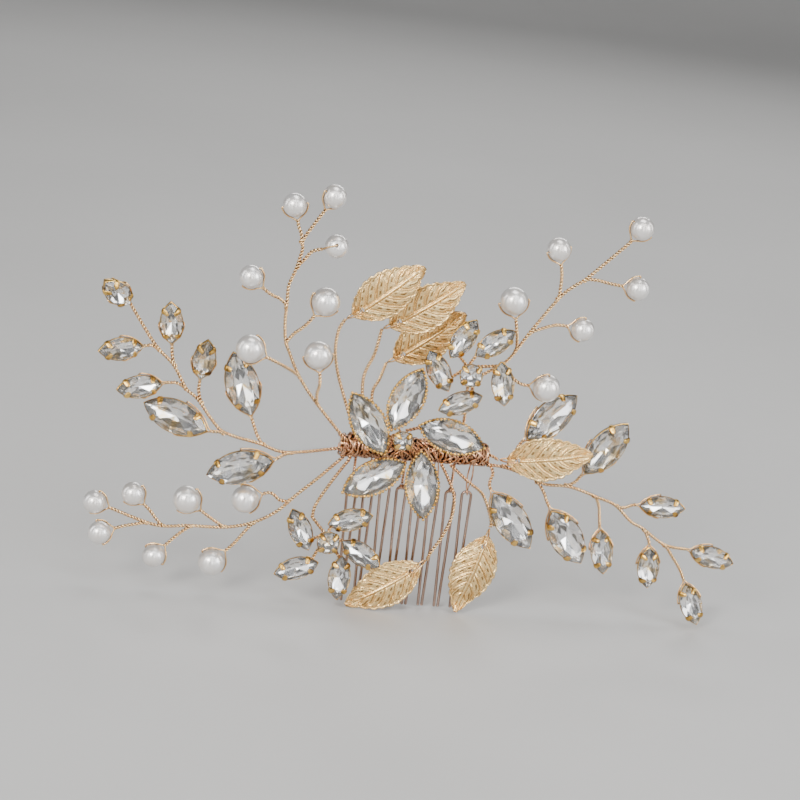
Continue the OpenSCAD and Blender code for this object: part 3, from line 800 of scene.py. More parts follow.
def rooted(line, stem):
    """A twig's line, begun along its stem so that the two part smoothly."""
    near = min(range(len(stem)), key=lambda k: (stem[k] - line[0]).length)
    flow = (stem[min(near + 1, len(stem) - 1)] - stem[max(near - 1, 0)]).normalized()
    aside = (line[0] - stem[near])
    aside -= flow * aside.dot(flow)
    lean = aside.normalized() * PAIR_LAY
    return [stem[near] - flow * 1.9 * MM + lean, stem[near] - flow * 0.9 * MM + lean * 1.5, *line[1:]]


def stem_lines(lines):
    """The centre lines of one spray's stem and twigs, and its flower's spokes."""
    spokes = [line for line in lines if len(line) == 2]
    longer = sorted((line for line in lines if len(line) > 2), key=line_length, reverse=True)
    stem = root_first(longer[0])
    fine = smooth_line(stem, 0.4 * MM)
    twigs = []
    for line in longer[1:]:
        gap = [min((q - end).length for q in fine) for end in (line[0], line[-1])]
        twigs.append(rooted(line if gap[0] < gap[1] else line[::-1], fine))
    return stem, twigs, spokes


BUNDLE_LOW, BUNDLE_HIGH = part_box("binding_wire")
BUNDLE_MIDDLE = (BUNDLE_LOW + BUNDLE_HIGH) / 2
BUNDLE_RADIUS = (BUNDLE_HIGH.z - BUNDLE_LOW.z) / 2


def to_pearl(line):
    """A twig that ends at a pearl, carried on to the neck of the pearl's loop."""
    end = line[-1]
    middle, radius = min(PEARL_PLACES, key=lambda place: (place[0] - end).length)
    gap = (end - middle).length - radius
    if gap > 2.6 * MM:
        return line
    return [*line, middle + (end - middle).normalized() * (radius + NECK_GAP - 0.1 * MM)]


def into_bundle(stem):
    """A root's line, carried on into the binding."""
    inside = Vector((max(BUNDLE_LOW.x + 0.003, min(BUNDLE_HIGH.x - 0.003, stem[0].x)), 0, BUNDLE_MIDDLE.z))
    first = stem[0]
    return [first + (inside - first) * 0.9, first + (inside - first) * 0.45, *stem]


def flower_post(spokes, cup):
    """From where a flower's spokes meet to the back of its centre cup."""
    low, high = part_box(cup)
    middle = (low + high) / 2
    back = Vector((middle.x, high.y, middle.z))
    inner = [min(p, key=lambda end: (end - back).length) for p in spokes]
    hub = sum(inner, Vector()) / len(inner)
    return [hub, back + (back - hub).normalized() * 0.4 * MM]


JOINTS = {joint["child"]: joint for joint in frame["joints"]}
PEARL_PLACES = []
for name, joint in JOINTS.items():
    if name.startswith("pearl_"):
        low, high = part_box(name)
        PEARL_PLACES.append((Vector(joint["pos_m"]), max(high - low) / 2))
wires = {node: read_wires(node) for node in [*SPRAYS.values(), "centre_wires"]}
wire_ends = []
for body, node in SPRAYS.items():
    stem, twigs, spokes = stem_lines(wires[node][0])
    root = stem[0].copy()
    ahead = (stem[1] - stem[0]).normalized()
    wire_ends += [line[-1] for line in [stem, *twigs]]
    posts = [flower_post(spokes, FLOWERS[body] + "_centre_cup")] if spokes else []
    if body == "lower_flower_spray":
        stem = [*stem, posts[0][0]]
    lines = [smooth_line(to_pearl(line), FINE) for line in [into_bundle(stem), *twigs]]
    lines += overrun(spokes) + posts
    piece = grow(node.replace("_wires", "_twists").replace("_stem", "_twists"), lines, TWISTED, GOLD)
    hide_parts(node)
    root - ahead * 0.5 * MM
    root + ahead * 2.5 * MM
    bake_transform(piece)


# ---- the comb body's own wires ----
def centre_lines():
    lines = wires["centre_wires"][0]
    spokes = [line for line in lines if len(line) == 2]
    stems = [root_first(line) for line in lines if len(line) > 2]
    grown = [smooth_line(into_bundle(line), FINE) for line in stems]
    grown += [*overrun(spokes), flower_post(spokes, "main_centre_cup")]
    return grown


leaf_twists = grow("leaf_and_flower_twists", centre_lines(), TWISTED, GOLD)
mounted(leaf_twists, "comb", "gold_wire", "centre_wires")


# ---- pearls ----
def pearl_mesh(radius, mouth, rings=40, around=64):
    """A drilled pearl about Z: a ball whose bore has soft dished mouths, closed through its middle."""
    start = math.asin(mouth / radius)
    profile = []
    for k in range(rings + 1):
        a = start + (math.pi - 2 * start) * k / rings
        dish = 0.05 * MM * math.exp(-((min(a, math.pi - a) - start) / 0.10) ** 2)
        profile.append(((radius - dish) * math.sin(a), (radius - dish) * math.cos(a)))
    inner = mouth * 0.86
    depth = profile[0][1]
    bore = [(inner, depth - 0.12 * MM), (inner, depth * 0.6), (inner, depth * 0.3), (inner, 0.0),
            (inner, -depth * 0.3), (inner, -depth * 0.6), (inner, -depth + 0.12 * MM)]
    section = profile + bore[::-1]
    count = len(section)
    points = [Vector((r * math.cos(TURN * j / around), r * math.sin(TURN * j / around), z))
              for j in range(around) for r, z in section]
    faces = [[j * count + k, j * count + (k + 1) % count,
              ((j + 1) % around) * count + (k + 1) % count, ((j + 1) % around) * count + k]
             for j in range(around) for k in range(count)]
    return points, faces


def make_pearl(name):
    joint = JOINTS[name]
    middle, bore = Vector(joint["pos_m"]), Vector(joint["axis"])
    low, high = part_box(name)
    radius = max(high - low) / 2
    points, faces = pearl_mesh(radius, 0.36 * MM)
    turn = bore.to_track_quat("Z", "Y")
    piece = new_piece(name + "_skin", [middle + turn @ p for p in points], faces, [PEARL])
    point_outwards(piece)
    mounted(piece, name, "pearl", name)
    return middle, bore, radius


pearls = {name: make_pearl(name) for name in sorted(JOINTS) if name.startswith("pearl_")}


def pearl_loop(middle, bore, radius, neck):
    """One strand out of both bore mouths and round both sides to the neck, where the two halves meet."""
    out = neck - middle
    out -= bore * out.dot(bore)
    out.normalize()
    reach = radius + NECK_GAP
    track = radius + BORE_WIRE * 1.1
    open_angle = math.acos(min(1.0, track / reach))
    half = [(0.0, 0.0), (0.0, radius * 0.8), (0.02 * MM, radius + 0.02 * MM), (0.12 * MM, track + 0.06 * MM)]
    first = math.radians(76)
    for k in range(7):
        a = first + (open_angle - first) * k / 6
        half.append((track * math.cos(a), track * math.sin(a)))
    tip = half[-1]
    half.append(((tip[0] + reach) / 2, tip[1] / 2 + 0.04 * MM))
    half.append((reach + 0.12 * MM, 0.1 * MM))
    whole = half[1:] + [(x, -y) for x, y in half[:0:-1]]
    return smooth_line([middle + out * x + bore * y for x, y in whole], FINER)


def loops_of(body, node):
    lines = []
    for points in wires[node][1]:
        name = min(pearls, key=lambda n: min((p - pearls[n][0]).length for p in points))
        middle, bore, radius = pearls[name]
        neck = max(points, key=lambda p: (p - middle).length)
        lines.append(pearl_loop(middle, bore, radius, neck))
    piece = grow(body.replace("_spray", "") + "_pearl_loops", lines, STRANDS, GOLD, Wire_radius=BORE_WIRE)
    mounted(piece, body, "gold_wire")


for body in ("upper_left_spray", "lower_left_spray", "upper_right_spray"):
    loops_of(body, SPRAYS[body])


# ---- leaves ----
def leaf_half_width(t):
    """The plain edge of a leaf at a share t of its length."""
    return 0.5 * LEAF_WIDTH * math.sin(math.pi * t ** 0.85) ** 0.8 if 0 < t < 1 else 0.0


def leaf_height(x, y):
    """How far the sheet is pressed up from its base plane, before its veins."""
    mid = LEAF_LENGTH / 2 - LEAF_BACK
    return math.sqrt(LEAF_BOW ** 2 - (x - mid) ** 2 - y ** 2) - math.sqrt(LEAF_BOW ** 2 - mid ** 2)


def vein_row(t, side):
    """Counts the side veins: one lies wherever this passes a whole number and a half."""
    return t * 6.8 - 1.8 * side ** 1.3 + 0.3


def leaf_relief(t, v, x, y, bend):
    """Midrib, side veins, rim and the curl of the tip."""
    side = abs(v)
    rib = 0.34 * MM * math.exp(-(y / (0.24 * MM)) ** 2) * min(1, t * 8) * (1.1 - 0.6 * t)
    from_vein = abs(vein_row(t, side) % 1.0 - 0.5)
    field = min(1, side * 4) * (1 - side ** 8)
    pillow = -0.14 * math.exp(-((from_vein - 0.16) / 0.07) ** 2)
    vein = (0.24 * math.exp(-(from_vein / 0.07) ** 2) + pillow) * MM * field
    rim = 0.2 * MM * math.exp(-((side - 0.95) / 0.045) ** 2)
    groove = -0.12 * MM * math.exp(-((abs(y) - 0.5 * MM) / (0.2 * MM)) ** 2)
    curl = 1.3 * MM * max(0, (t - 0.84) / 0.16) ** 2 * (0.6 + 0.4 * bend)
    cup = 0.5 * MM * side ** 2 * math.sin(math.pi * t) * bend
    wave = 0.16 * MM * math.sin(t * 23 + bend * 5) * side ** 3
    return rib + vein + rim + groove + curl - cup + wave


def make_leaf(number, along_steps=190, cross_steps=76):
    name = f"leaf_{number}"
    joint = JOINTS[name]
    eye, out = Vector(joint["pos_m"]), Vector(joint["axis"])
    if out.y > 0:
        out = -out
    low_high = [Vector(v.co) for v in frame["nodes"][name].data.vertices]
    middle = sum(low_high, Vector()) / len(low_high)
    along = middle - eye
    along -= out * along.dot(out)
    along.normalize()
    cross = out.cross(along)
    bend = math.sin(number * 2.4)
    columns = cross_steps + 1
    flat, points, charts = [], [], []
    for i in range(along_steps + 1):
        t = i / along_steps
        inside = 0.004 + 0.992 * t
        saw = abs(math.sin(math.pi * (t * 10 + 0.15))) ** 0.7
        for j in range(columns):
            v = 2 * j / cross_steps - 1
            edge = leaf_half_width(inside) + 0.36 * MM * saw * min(1, 6 * t, 8 * (1 - t))
            edge = max(edge, 0.36 * MM * min(1, 30 * (1.02 - t)))
            x = LEAF_LENGTH * inside - LEAF_BACK
            x += 0.3 * MM * saw * abs(v) ** 5 + 0.5 * MM * max(0, (t - 0.9) / 0.1)
            y = v * edge
            z = leaf_height(x, y) + leaf_relief(t, v, x, y, bend)
            flat.append((x / MM, y / MM))
            charts.append(((vein_row(t, abs(v)) + 4, abs(y) / MM), (abs(v), t)))
            points.append(eye + along * x + cross * y + out * z)
    faces = [[i * columns + j, (i + 1) * columns + j, (i + 1) * columns + j + 1, i * columns + j + 1]
             for i in range(along_steps) for j in range(cross_steps)]
    hole = LEAF_EYE / 2 / MM
    inside_hole = [math.hypot(*p) < hole for p in flat]
    faces = [f for f in faces if not any(inside_hole[k] for k in f)]
    used = sorted({k for f in faces for k in f})
    number_of = {k: n for n, k in enumerate(used)}
    rim_band = hole * 1.35
    for k in used:
        reach = math.hypot(*flat[k])
        if reach < rim_band:
            near = (reach - hole) / (rim_band - hole)
            pull = (hole + (rim_band - hole) * max(0.0, near - 0.28) / 0.72) / reach
            x, y = flat[k][0] * pull * MM, flat[k][1] * pull * MM
            points[k] = eye + along * x + cross * y + out * (leaf_height(x, y) + 0.1 * MM * (1 - near))
    piece = new_piece(name + "_sheet", [points[k] for k in used],
                      [[number_of[k] for k in f] for f in faces], [LEAF])
    for number_of_chart, chart_name in enumerate(("veins", "edge")):
        chart = piece.data.uv_layers.new(name=chart_name)
        for loop in piece.data.loops:
            chart.data[loop.index].uv = charts[used[loop.vertex_index]][number_of_chart]
    wall = piece.modifiers.new("Sheet", "SOLIDIFY")
    wall.thickness = LEAF_SHEET
    wall.offset = -1
    bpy.context.view_layer.update()
    solid = bpy.data.meshes.new_from_object(piece.evaluated_get(bpy.context.evaluated_depsgraph_get()))
    piece.modifiers.remove(wall)
    piece.data = solid
    point_outwards(piece)
    mounted(piece, name, "leaf_brass", name)
    return eye, along, out


leaves = [make_leaf(number) for number in range(1, 7)]
LEAF_LOOP = [(0, 0.95), (0.05, 0.5), (0, -0.1), (-0.1, -0.95), (-0.7, -1.4), (-1.5, -1.75), (-2.4, -2.0),
             (-3.2, -2.0), (-3.75, -1.65), (-3.4, -0.9), (-2.7, -0.1), (-1.7, 0.55), (-0.7, 1.0), (0, 0.95)]
loop_lines = [smooth_line([eye + along * x * MM + out * z * MM for x, z in LEAF_LOOP], FINER)
              for eye, along, out in leaves]
leaf_loops = grow("leaf_loops", loop_lines, STRANDS, GOLD, Wire_radius=BORE_WIRE)
mounted(leaf_loops, "comb", "gold_wire")


# ---- stones ----
def oval(a, b, count):
    """A navette's pointed oval, or a circle where a equals b, as points and their outward directions."""
    if a < 1.05 * b:
        return [((a * math.cos(w), b * math.sin(w)), (math.cos(w), math.sin(w)))
                for w in (TURN * k / count for k in range(count))]
    r = (a * a + b * b) / (2 * b)
    swing = math.asin(a / r)
    half = count // 2
    upper = [swing - 2 * swing * k / half for k in range(half)]
    rim = [((r * math.sin(w), r * math.cos(w) - r + b), (math.sin(w), math.cos(w))) for w in upper]
    return rim + [((-x, -y), (-u, -v)) for (x, y), (u, v) in rim]


def cut(bm, point, normal):
    """Cuts away what lies outside a plane and closes the cut with one facet."""
    result = bmesh.ops.bisect_plane(bm, geom=bm.verts[:] + bm.edges[:] + bm.faces[:],
                                    plane_co=point, plane_no=normal, clear_outer=True, dist=1e-8)
    edges = [e for e in result["geom_cut"] if isinstance(e, bmesh.types.BMEdge) and len(e.link_faces) == 1]
    if len(edges) > 2:
        bmesh.ops.contextual_create(bm, geom=edges)


def cut_stone(a, b):
    """A stone's points, faces and slots: 0 glass, 1 foil, 2 brass. The girdle lies in the XY plane."""
    is_round = a < 1.05 * b
    crown, pavilion = CROWN_SHARE * b, PAVILION_SHARE * b
    rim = oval(a, b, 48)
    bm = bmesh.new()
    low = [bm.verts.new((x, y, -pavilion)) for (x, y), _ in rim]
    high = [bm.verts.new((x, y, crown)) for (x, y), _ in rim]
    bm.faces.new(high)
    bm.faces.new(low[::-1])
    for k in range(len(rim)):
        j = (k + 1) % len(rim)
        bm.faces.new((low[k], low[j], high[j], high[k]))
    bmesh.ops.recalc_face_normals(bm, faces=bm.faces)
    if is_round:
        mains = [TURN * k / 8 for k in range(8)]
        halves = [TURN * (k + 0.5) / 16 for k in range(16)]
    else:
        swing = math.asin(a / ((a * a + b * b) / (2 * b)))
        mains, halves = ([side + swing * t for side in (math.pi / 2, -math.pi / 2) for t in shares]
                         for shares in ((-0.82, -0.28, 0.28, 0.82), (-0.98, -0.55, -0.02, 0.02, 0.55, 0.98)))

    def rim_point(angle):
        return max(rim, key=lambda q: q[1][0] * math.cos(angle) + q[1][1] * math.sin(angle))[0]

    def facet(angle, slope, upwards):
        x, y = rim_point(angle)
        s, c = math.sin(slope), math.cos(slope)
        sign = 1 if upwards else -1
        cut(bm, Vector((x, y, sign * GIRDLE)), Vector((math.cos(angle) * s, math.sin(angle) * s, sign * c)))

    for angle in mains:
        facet(angle, CROWN_SLOPE, True)
    for angle in halves:
        facet(angle, CROWN_EDGE_SLOPE, True)
    for angle in halves[::2] if is_round else halves:
        x, y = rim_point(angle)
        s, c = math.sin(STAR_SLOPE), math.cos(STAR_SLOPE)
        cut(bm, Vector((x * 0.60, y * 0.60, crown)), Vector((math.cos(angle) * s, math.sin(angle) * s, c)))
    for angle in mains:
        x, y = rim_point(angle)
        edge = Vector((-math.sin(angle), math.cos(angle), 0))
        down = Vector((x, y, -GIRDLE)) - Vector((0, 0, -pavilion))
        normal = edge.cross(down)
        if normal.z > 0:
            normal = -normal
        cut(bm, Vector((x, y, -GIRDLE)), normal.normalized())
    for angle in halves:
        facet(angle, PAVILION_EDGE_SLOPE, False)
    bmesh.ops.remove_doubles(bm, verts=bm.verts, dist=0.004 * MM)
    bmesh.ops.dissolve_limit(bm, angle_limit=math.radians(0.4), verts=bm.verts, edges=bm.edges)
    bmesh.ops.recalc_face_normals(bm, faces=bm.faces)
    bm.verts.index_update()
    points = [v.co.copy() for v in bm.verts]
    faces = [[v.index for v in f.verts] for f in bm.faces]

    def slot_of(face):
        if face.normal.z > -0.15:
            return 0
        middle = face.calc_center_median()
        near_edge = abs(middle.z) < 0.32 * pavilion and face.calc_area() < 0.05 * a * b
        return 2 if near_edge else 1

    slots = [slot_of(face) for face in bm.faces]
    bm.free()
    return points, faces, slots


CUT_STONES = {}


def stone_shape(stone):
    key = (round(stone.half_length / MM, 2), round(stone.half_width / MM, 2))
    if key not in CUT_STONES:
        CUT_STONES[key] = cut_stone(stone.half_length, stone.half_length if stone.round else stone.half_width)
    return CUT_STONES[key]


# ---- settings: cup, claws and, on the main flower, a beaded rim ----
def cup_profile(b):
    """(offset from the stone's edge, height) round the section of a cup's wall, as a closed loop."""
    deep = PAVILION_SHARE * b + 0.35 * MM
    return [(0.03 * MM, -0.16 * MM), (0.05 * MM, -0.03 * MM), (0.11 * MM, 0.0), (0.17 * MM, -0.05 * MM),
            (0.19 * MM, -0.3 * MM), (0.12 * MM, -0.45 * deep), (-0.10 * b, -0.85 * deep), (-0.14 * b, -deep),
            (-0.42 * b, -deep), (-0.42 * b, -deep + 0.2 * MM), (-0.22 * b, -deep + 0.2 * MM),
            (-0.10 * b - 0.16 * MM, -0.8 * deep), (-0.06 * MM, -0.45 * deep)]


def cup_mesh(stone, count=56):
    a = stone.half_length
    b = a if stone.round else stone.half_width
    rings = []
    for off, z in cup_profile(b):
        tip = 1.3 * off if not stone.round else off
        rings.append([stone.place(x, y, z) for (x, y), _ in oval(a + tip, b + off, count)])
    rings.append(rings[0])
    points, faces = lofted(rings[:-1], caps=False)
    last = (len(rings) - 2) * count
    faces += [[last + k, last + (k + 1) % count, (k + 1) % count, k] for k in range(count)]
    return points, faces


def claw_spots(stone):
    """Where the claws stand: points of the edge and their outward directions."""
    a = stone.half_length
    if stone.round:
        return [((a * math.cos(w), a * math.sin(w)), (math.cos(w), math.sin(w)))
                for w in (math.pi / 4 + math.pi / 2 * k for k in range(4))]
    b = stone.half_width
    r = (a * a + b * b) / (2 * b)
    w = math.asin(0.62 * a / r)
    x, y = 0.62 * a, r * math.cos(w) - r + b
    return [((sx * x, sy * y), (sx * math.sin(w), sy * math.cos(w))) for sx in (-1, 1) for sy in (-1, 1)]


def claw_mesh(stone, spot):
    """A tapered tab up the cup's side, bent over the stone's edge and pressed on to its crown."""
    (x, y), (u, v) = spot
    b = stone.half_length if stone.round else stone.half_width
    size = 0.8 if stone.round else (1.0 if b > 3 * MM else 0.86)
    deep = PAVILION_SHARE * b + 0.2 * MM
    top = CROWN_SHARE * b + 0.14 * MM
    path = [(-0.05 * b, -deep, 0.75), (0.12 * MM, -0.5 * deep, 0.85), (0.30 * MM, -0.35 * MM, 1.0),
            (0.33 * MM, 0.05 * MM, 1.0), (0.24 * MM, 0.34 * MM, 1.0), (0.0, 0.52 * MM, 0.98),
            (-0.32 * MM, min(top, 0.74 * MM), 0.94), (-0.64 * MM, min(top, 1.0 * MM), 0.85),
            (-0.92 * MM, min(top, 1.2 * MM), 0.68), (-1.02 * MM, min(top, 1.22 * MM), 0.4)]
    rings = []
    for k, (off, z, wide) in enumerate(path):
        before, after = path[max(k - 1, 0)], path[min(k + 1, len(path) - 1)]
        t = Vector((after[0] - before[0], after[1] - before[1])).normalized()
        n = Vector((t.y, -t.x))
        half = CLAW_WIDTH * size / 2 * wide
        ring = []
        for s, h in ((-1, -0.5), (-0.8, 0.35), (-0.35, 0.62), (0.35, 0.62), (0.8, 0.35), (1, -0.5)):
            o = off + n.x * h * CLAW_SHEET
            w = s * half
            ring.append(stone.place(x + u * o - v * w, y + v * o + u * w, z + n.y * h * CLAW_SHEET))
        rings.append(ring)
    return lofted(rings)


def rim_line(stone):
    """A line round the stone's edge for a beaded rim."""
    rim = oval(stone.half_length + 0.24 * MM, stone.half_width + 0.12 * MM, 60)
    line = [stone.place(x, y, 0.14 * MM) for (x, y), _ in rim]
    return [*line, line[0]]


def setting_loop(stone, neck):
    """A strand from the neck round the inner half of a cup and back, under the claws."""
    stone.face(neck)
    a, b = stone.half_length, stone.half_width
    deep = PAVILION_SHARE * b
    half = []
    for (x, y), (u, v) in oval(a + 0.5 * MM, b + 0.42 * MM, 60)[:30]:
        if x < -0.12 * a:
            half.append((x, y, -0.35 * deep - 0.25 * MM))
    half.sort()
    start = [stone.place(-a - 0.9 * MM, 0.12 * MM, -0.5 * deep)]
    side = [stone.place(*p) for p in half[::3]]
    end_x, end_y, _ = half[-1]
    under = [stone.place(end_x + 0.35 * MM, s * end_y * 0.8, -deep - 0.65 * MM) for s in (1, 0, -1)]
    back = [stone.place(x, -y, z) for x, y, z in half[::3][::-1]]
    finish = [stone.place(-a - 0.9 * MM, -0.12 * MM, -0.5 * deep)]
    return smooth_line(start + side + under + back + finish, 0.2 * MM)


def make_stones(body, gem_name, setting_name, stone_nodes, cup_nodes):
    stones = read_stones(stone_nodes)
    gems, brass, rims, loops = Heap(), Heap(), [], []
    navettes = [s for s in stones if not s.round]
    for stone in stones:
        flower = body not in ("left_crystal_spray", "right_crystal_spray")
        if flower:
            centre = sum((s.middle for s in navettes), Vector()) / len(navettes)
            stone.face(centre)
        points, faces, slots = stone_shape(stone)
        start = len(gems.points)
        gems.points += [stone.place(*p) for p in points]
        gems.faces += [[start + i for i in f] for f in faces]
        gems.indices += slots
        brass.add(*cup_mesh(stone))
        if body == "comb" and not stone.round:
            rims.append(rim_line(stone))
        else:
            for spot in claw_spots(stone):
                brass.add(*claw_mesh(stone, spot))
        if not flower:
            tips = [stone.place(s * stone.half_length, 0, 0) for s in (-1, 1)]
            neck = min(wire_ends, key=lambda e: min((e - t).length for t in tips))
            loops.append(setting_loop(stone, neck))
    crystals = gems.piece(gem_name, [GLASS, FOIL, BRASS], smooth=False)
    point_outwards(crystals)
    mounted(crystals, body, "crystal", *stone_nodes)
    settings = brass.piece(setting_name, [BRASS])
    point_outwards(settings)
    settings.data.set_sharp_from_angle(angle=math.radians(45))
    mounted(settings, body, "brass_cup", *cup_nodes)
    if rims:
        beads = grow("main_flower_beaded_rims", rims, BEADED, BRASS, Bead_radius=BEAD, Spacing=BEAD_SPACING)
        mounted(beads, body, "brass_cup")
    if loops:
        strands = grow(gem_name.replace("crystals", "setting_loops"), loops, STRANDS, GOLD,
                       Wire_radius=BORE_WIRE)
        mounted(strands, body, "gold_wire")


for row in STONES:
    make_stones(*row)


# ---- binding, ties and comb ----
def straight(start, end):
    return [Vector(start), Vector(end)]


def bundle_line(x0, x1):
    return straight((x0, BUNDLE_MIDDLE.y, BUNDLE_MIDDLE.z), (x1, BUNDLE_MIDDLE.y, BUNDLE_MIDDLE.z))


def make_binding():
    """A close under layer, then loose turns over it at several slants, as hand winding leaves them."""
    x0, x1 = BUNDLE_LOW.x, BUNDLE_HIGH.x
    layers = [  # trim at each end, rise over the bundle's radius, pitch, wobble, slide, seed
        (0, 0, -0.25, 0.46, 0.10, 0.35, 0.0),
        (0.2, 0.2, 0.04, 1.0, 0.16, 2.2, 3.0),
        (0.6, 0.5, 0.18, 1.9, 0.2, 3.4, 8.0),
        (0.8, 1.0, 0.24, 3.1, 0.24, 4.4, 15.0),
        (0.4, None, 0.34, 1.3, 0.2, 2.4, 21.0),
    ]
    made = []
    for k, (near, far, rise, pitch, wobble, slide, seed) in enumerate(layers):
        line = bundle_line(x0 + near * MM, x0 + LEFT_LUMP if far is None else x1 - far * MM)
        if k == 3:
            line.reverse()
        made.append(grow(f"binding_{k}", [line], WINDING, COPPER, Coil_radius=BUNDLE_RADIUS + rise * MM,
                         Pitch=pitch * MM, Wobble=wobble * MM, Slide=slide * MM, Seed=seed,
                         Wire_radius=OUTER_WIRE if k else WINDING_WIRE))
    binding = join("binding_winding", made)
    mounted(binding, "comb", "copper_wire", "binding_wire")


make_binding()


def teeth_places():
    """Each tooth's middle along X, the heights of its arch's top and its tips, and its two half widths."""
    bm, groups = solids("comb_teeth")
    places = []
    for group in groups:
        xs = [v.co.x for v in group]
        zs = [v.co.z for v in group]
        top = max(zs)
        wide = [v.co.x for v in group if v.co.z > top - 1.6 * MM]
        tip = [v.co.x for v in group if v.co.z < min(zs) + 0.8 * MM]
        half = [(max(row) - min(row)) / 2 for row in (wide, tip)]
        places.append(((min(xs) + max(xs)) / 2, top, min(zs), *half))
    bm.free()
    return sorted(places)


TOOTH_RADIUS = (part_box("comb_teeth")[1].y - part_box("comb_teeth")[0].y) / 2


def make_teeth():
    lines = []
    for middle, top, tip, leg, foot in teeth_places():
        leg -= TOOTH_RADIUS
        foot -= TOOTH_RADIUS
        arch = top - TOOTH_RADIUS - leg
        wave = 0.12 * MM * math.sin(middle / MM * 1.7)
        bow = [(leg * math.cos(w), arch + leg * math.sin(w)) for w in (math.pi * k / 14 for k in range(15))]
        low = tip + TOOTH_RADIUS
        right = [(foot + (leg - foot) * s, low + (arch - low) * s) for s in (0, 0.33, 0.66)]
        outline = right + bow + [(-x, z) for x, z in right[::-1]]
        lines.append(smooth_line([Vector((middle + x, wave * math.sin((z - top) / MM * 0.11), z))
                                  for x, z in outline], 0.3 * MM))
    teeth = grow("comb_wires", lines, STRANDS, ROSE, Wire_radius=TOOTH_RADIUS, Step=0.3 * MM, Sides=16)
    ends = Heap()
    for line in lines:
        for end, inner in ((line[0], line[1]), (line[-1], line[-2])):
            axis = (end - inner).normalized()
            side = axis.orthogonal().normalized()
            turn = axis.cross(side)
            rings = [[end + axis * TOOTH_RADIUS * math.sin(h) * 0.97
                      + (side * math.cos(w) + turn * math.sin(w)) * TOOTH_RADIUS * math.cos(h)
                      for w in (TURN * k / 16 for k in range(16))] for h in (0.0, 0.4, 0.8, 1.15, 1.45)]
            ends.add(*lofted(rings))
    tips = ends.piece("comb_tips", [ROSE])
    point_outwards(tips)
    comb = join("comb_wires", [teeth, tips])
    mounted(comb, "comb", "comb_wire", "comb_teeth")


make_teeth()


def make_ties():
    """Copper wire hooked round each arch holds it to the bundle: twisted tight, or left an open loop."""
    pairs, eyes, hooks = [], [], []
    under = BUNDLE_MIDDLE.z - BUNDLE_RADIUS
    for number, (middle, top, _, _, _) in enumerate(teeth_places()):
        lean = 0.35 * MM * math.sin(number * 2.1)
        mid = (under + top) / 2
        if number % 3:
            wide = (0.62 + 0.1 * math.sin(number * 5.0)) * MM
            eyes.append(smooth_line([Vector((middle + x * MM + lean * drop, y * MM, z)) for x, y, z, drop in (
                (-0.3, -0.9, under + 1.2 * MM, 1), (-0.35, -0.6, under + 0.2 * MM, 1),
                (-wide / MM, -0.3, mid, 0.6),
                (-0.25, -0.45, top + 0.5 * MM, 0), (0.0, -0.6, top - 0.6 * MM, 0),
                (0.12, 0.0, top - 1.05 * MM, 0), (0.1, 0.55, top - 0.4 * MM, 0),
                (0.3, 0.45, top + 0.6 * MM, 0), (wide / MM, 0.2, mid, 0.6),
                (0.35, -0.2, under + 0.2 * MM, 1), (0.3, -0.5, under + 1.2 * MM, 1))], 0.2 * MM))
        else:
            pairs.append(smooth_line([Vector((middle + lean, -0.5 * MM, under + 0.9 * MM)),
                                      Vector((middle + lean * 0.6, -0.15 * MM, mid)),
                                      Vector((middle, 0.1 * MM, top + 1.2 * MM)),
                                      Vector((middle, 0, top + 0.5 * MM))], 0.3 * MM))
            hooks.append(straight(*((middle + x * MM, 0, top - TOOTH_RADIUS) for x in (-0.6, 0.6))))
    twists = grow("tie_twists", pairs, TWISTED, COPPER, Wire_radius=TIE_WIRE, Lay=TIE_WIRE, Pitch=1.3 * MM)
    loops = grow("tie_loops", eyes, STRANDS, COPPER, Wire_radius=TIE_WIRE)
    rings = grow("tie_hooks", hooks, WINDING, COPPER, Coil_radius=TOOTH_RADIUS + TIE_WIRE, Pitch=0.42 * MM,
                 Wobble=0.03 * MM, Slide=0.05 * MM, Wire_radius=0.16 * MM)
    ties = join("tie_twists", [twists, loops, rings])
    mounted(ties, "comb", "copper_wire", "tie_wires")


make_ties()
frame["nodes"]["stem_tails"].data.materials.clear()
frame["nodes"]["stem_tails"].data.materials.append(GOLD)


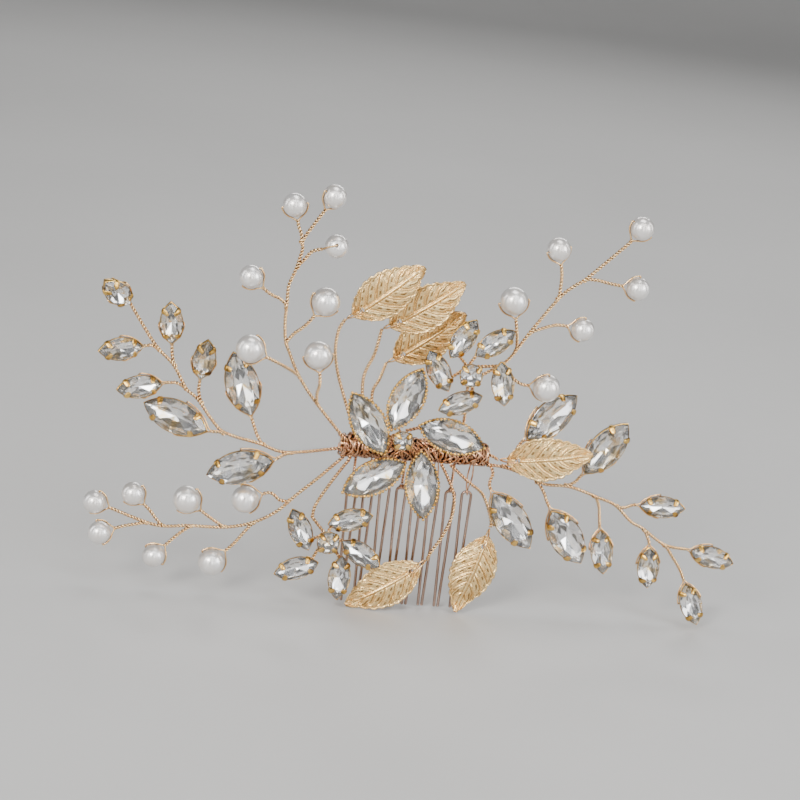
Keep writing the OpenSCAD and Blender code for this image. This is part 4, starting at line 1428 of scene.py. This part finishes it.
# ---- floor, light and air ----
def make_studio():
    ground = cad_low.z - FLOOR_GAP
    rows = [(-1.6, 0.0), (-0.4, 0.0), (0.5, 0.0)]
    rows += [(0.9 + 0.5 * math.sin(a), 0.5 - 0.5 * math.cos(a))
             for a in (math.pi / 2 * k / 12 for k in range(13))]
    rows += [(1.4, 1.2), (1.4, 2.2)]
    points = [Vector((x, y, ground + z)) for x in (-2.2, 2.2) for y, z in rows]
    count = len(rows)
    faces = [[k, count + k, count + k + 1, k + 1] for k in range(count - 1)]
    floor = new_piece("floor", points, faces, [studio_floor()])
    floor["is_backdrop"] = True


def make_light(name, place, size, power, shade=(1.0, 1.0, 1.0), target=(0, 0, 0.015)):
    lamp = bpy.data.lights.new(name, "AREA")
    lamp.shape = "RECTANGLE"
    lamp.size, lamp.size_y = size
    lamp.energy = power
    lamp.color = shade
    holder = bpy.data.objects.new(name, lamp)
    bpy.context.scene.collection.objects.link(holder)
    holder.location = place
    holder.rotation_mode = "QUATERNION"
    holder.rotation_quaternion = (Vector(target) - Vector(place)).to_track_quat("-Z", "Y")


make_studio()
for lamp in (
    ("key_softbox", (-0.5, -0.7, 0.5), (0.3, 0.3), 6.5, (1.0, 0.97, 0.93)),
    ("right_softbox", (0.6, -0.45, 0.30), (0.2, 0.4), 2.6, (0.95, 0.97, 1.0)),
    ("top_softbox", (0.05, 0.05, 0.75), (0.4, 0.3), 2.0),
    ("back_strip", (0.2, 0.7, 0.35), (0.6, 0.12), 1.5),
):
    make_light(*lamp)
STRIP_REACH, STRIP_HEIGHT, STRIP_SIZE = 0.95, 0.38, (0.22, 0.85)
for turn, power in ((-98, 2.64), (-62, 2.64), (-34, 2.04), (4, 2.88), (30, 2.28), (64, 2.64), (100, 2.64)):
    a = math.radians(turn)
    place = (STRIP_REACH * math.sin(a), -STRIP_REACH * math.cos(a), STRIP_HEIGHT)
    make_light(f"strip_{turn}", place, STRIP_SIZE, power)
make_light("front_card", (0.0, -0.55, 0.85), (0.9, 0.18), 2.6)

world = bpy.data.worlds.new("studio air")
bpy.context.scene.world = world
world.use_nodes = True
world.node_tree.nodes["Background"].inputs["Color"].default_value = (0.80, 0.84, 0.90, 1)
world.node_tree.nodes["Background"].inputs["Strength"].default_value = 0.11

low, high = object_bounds()
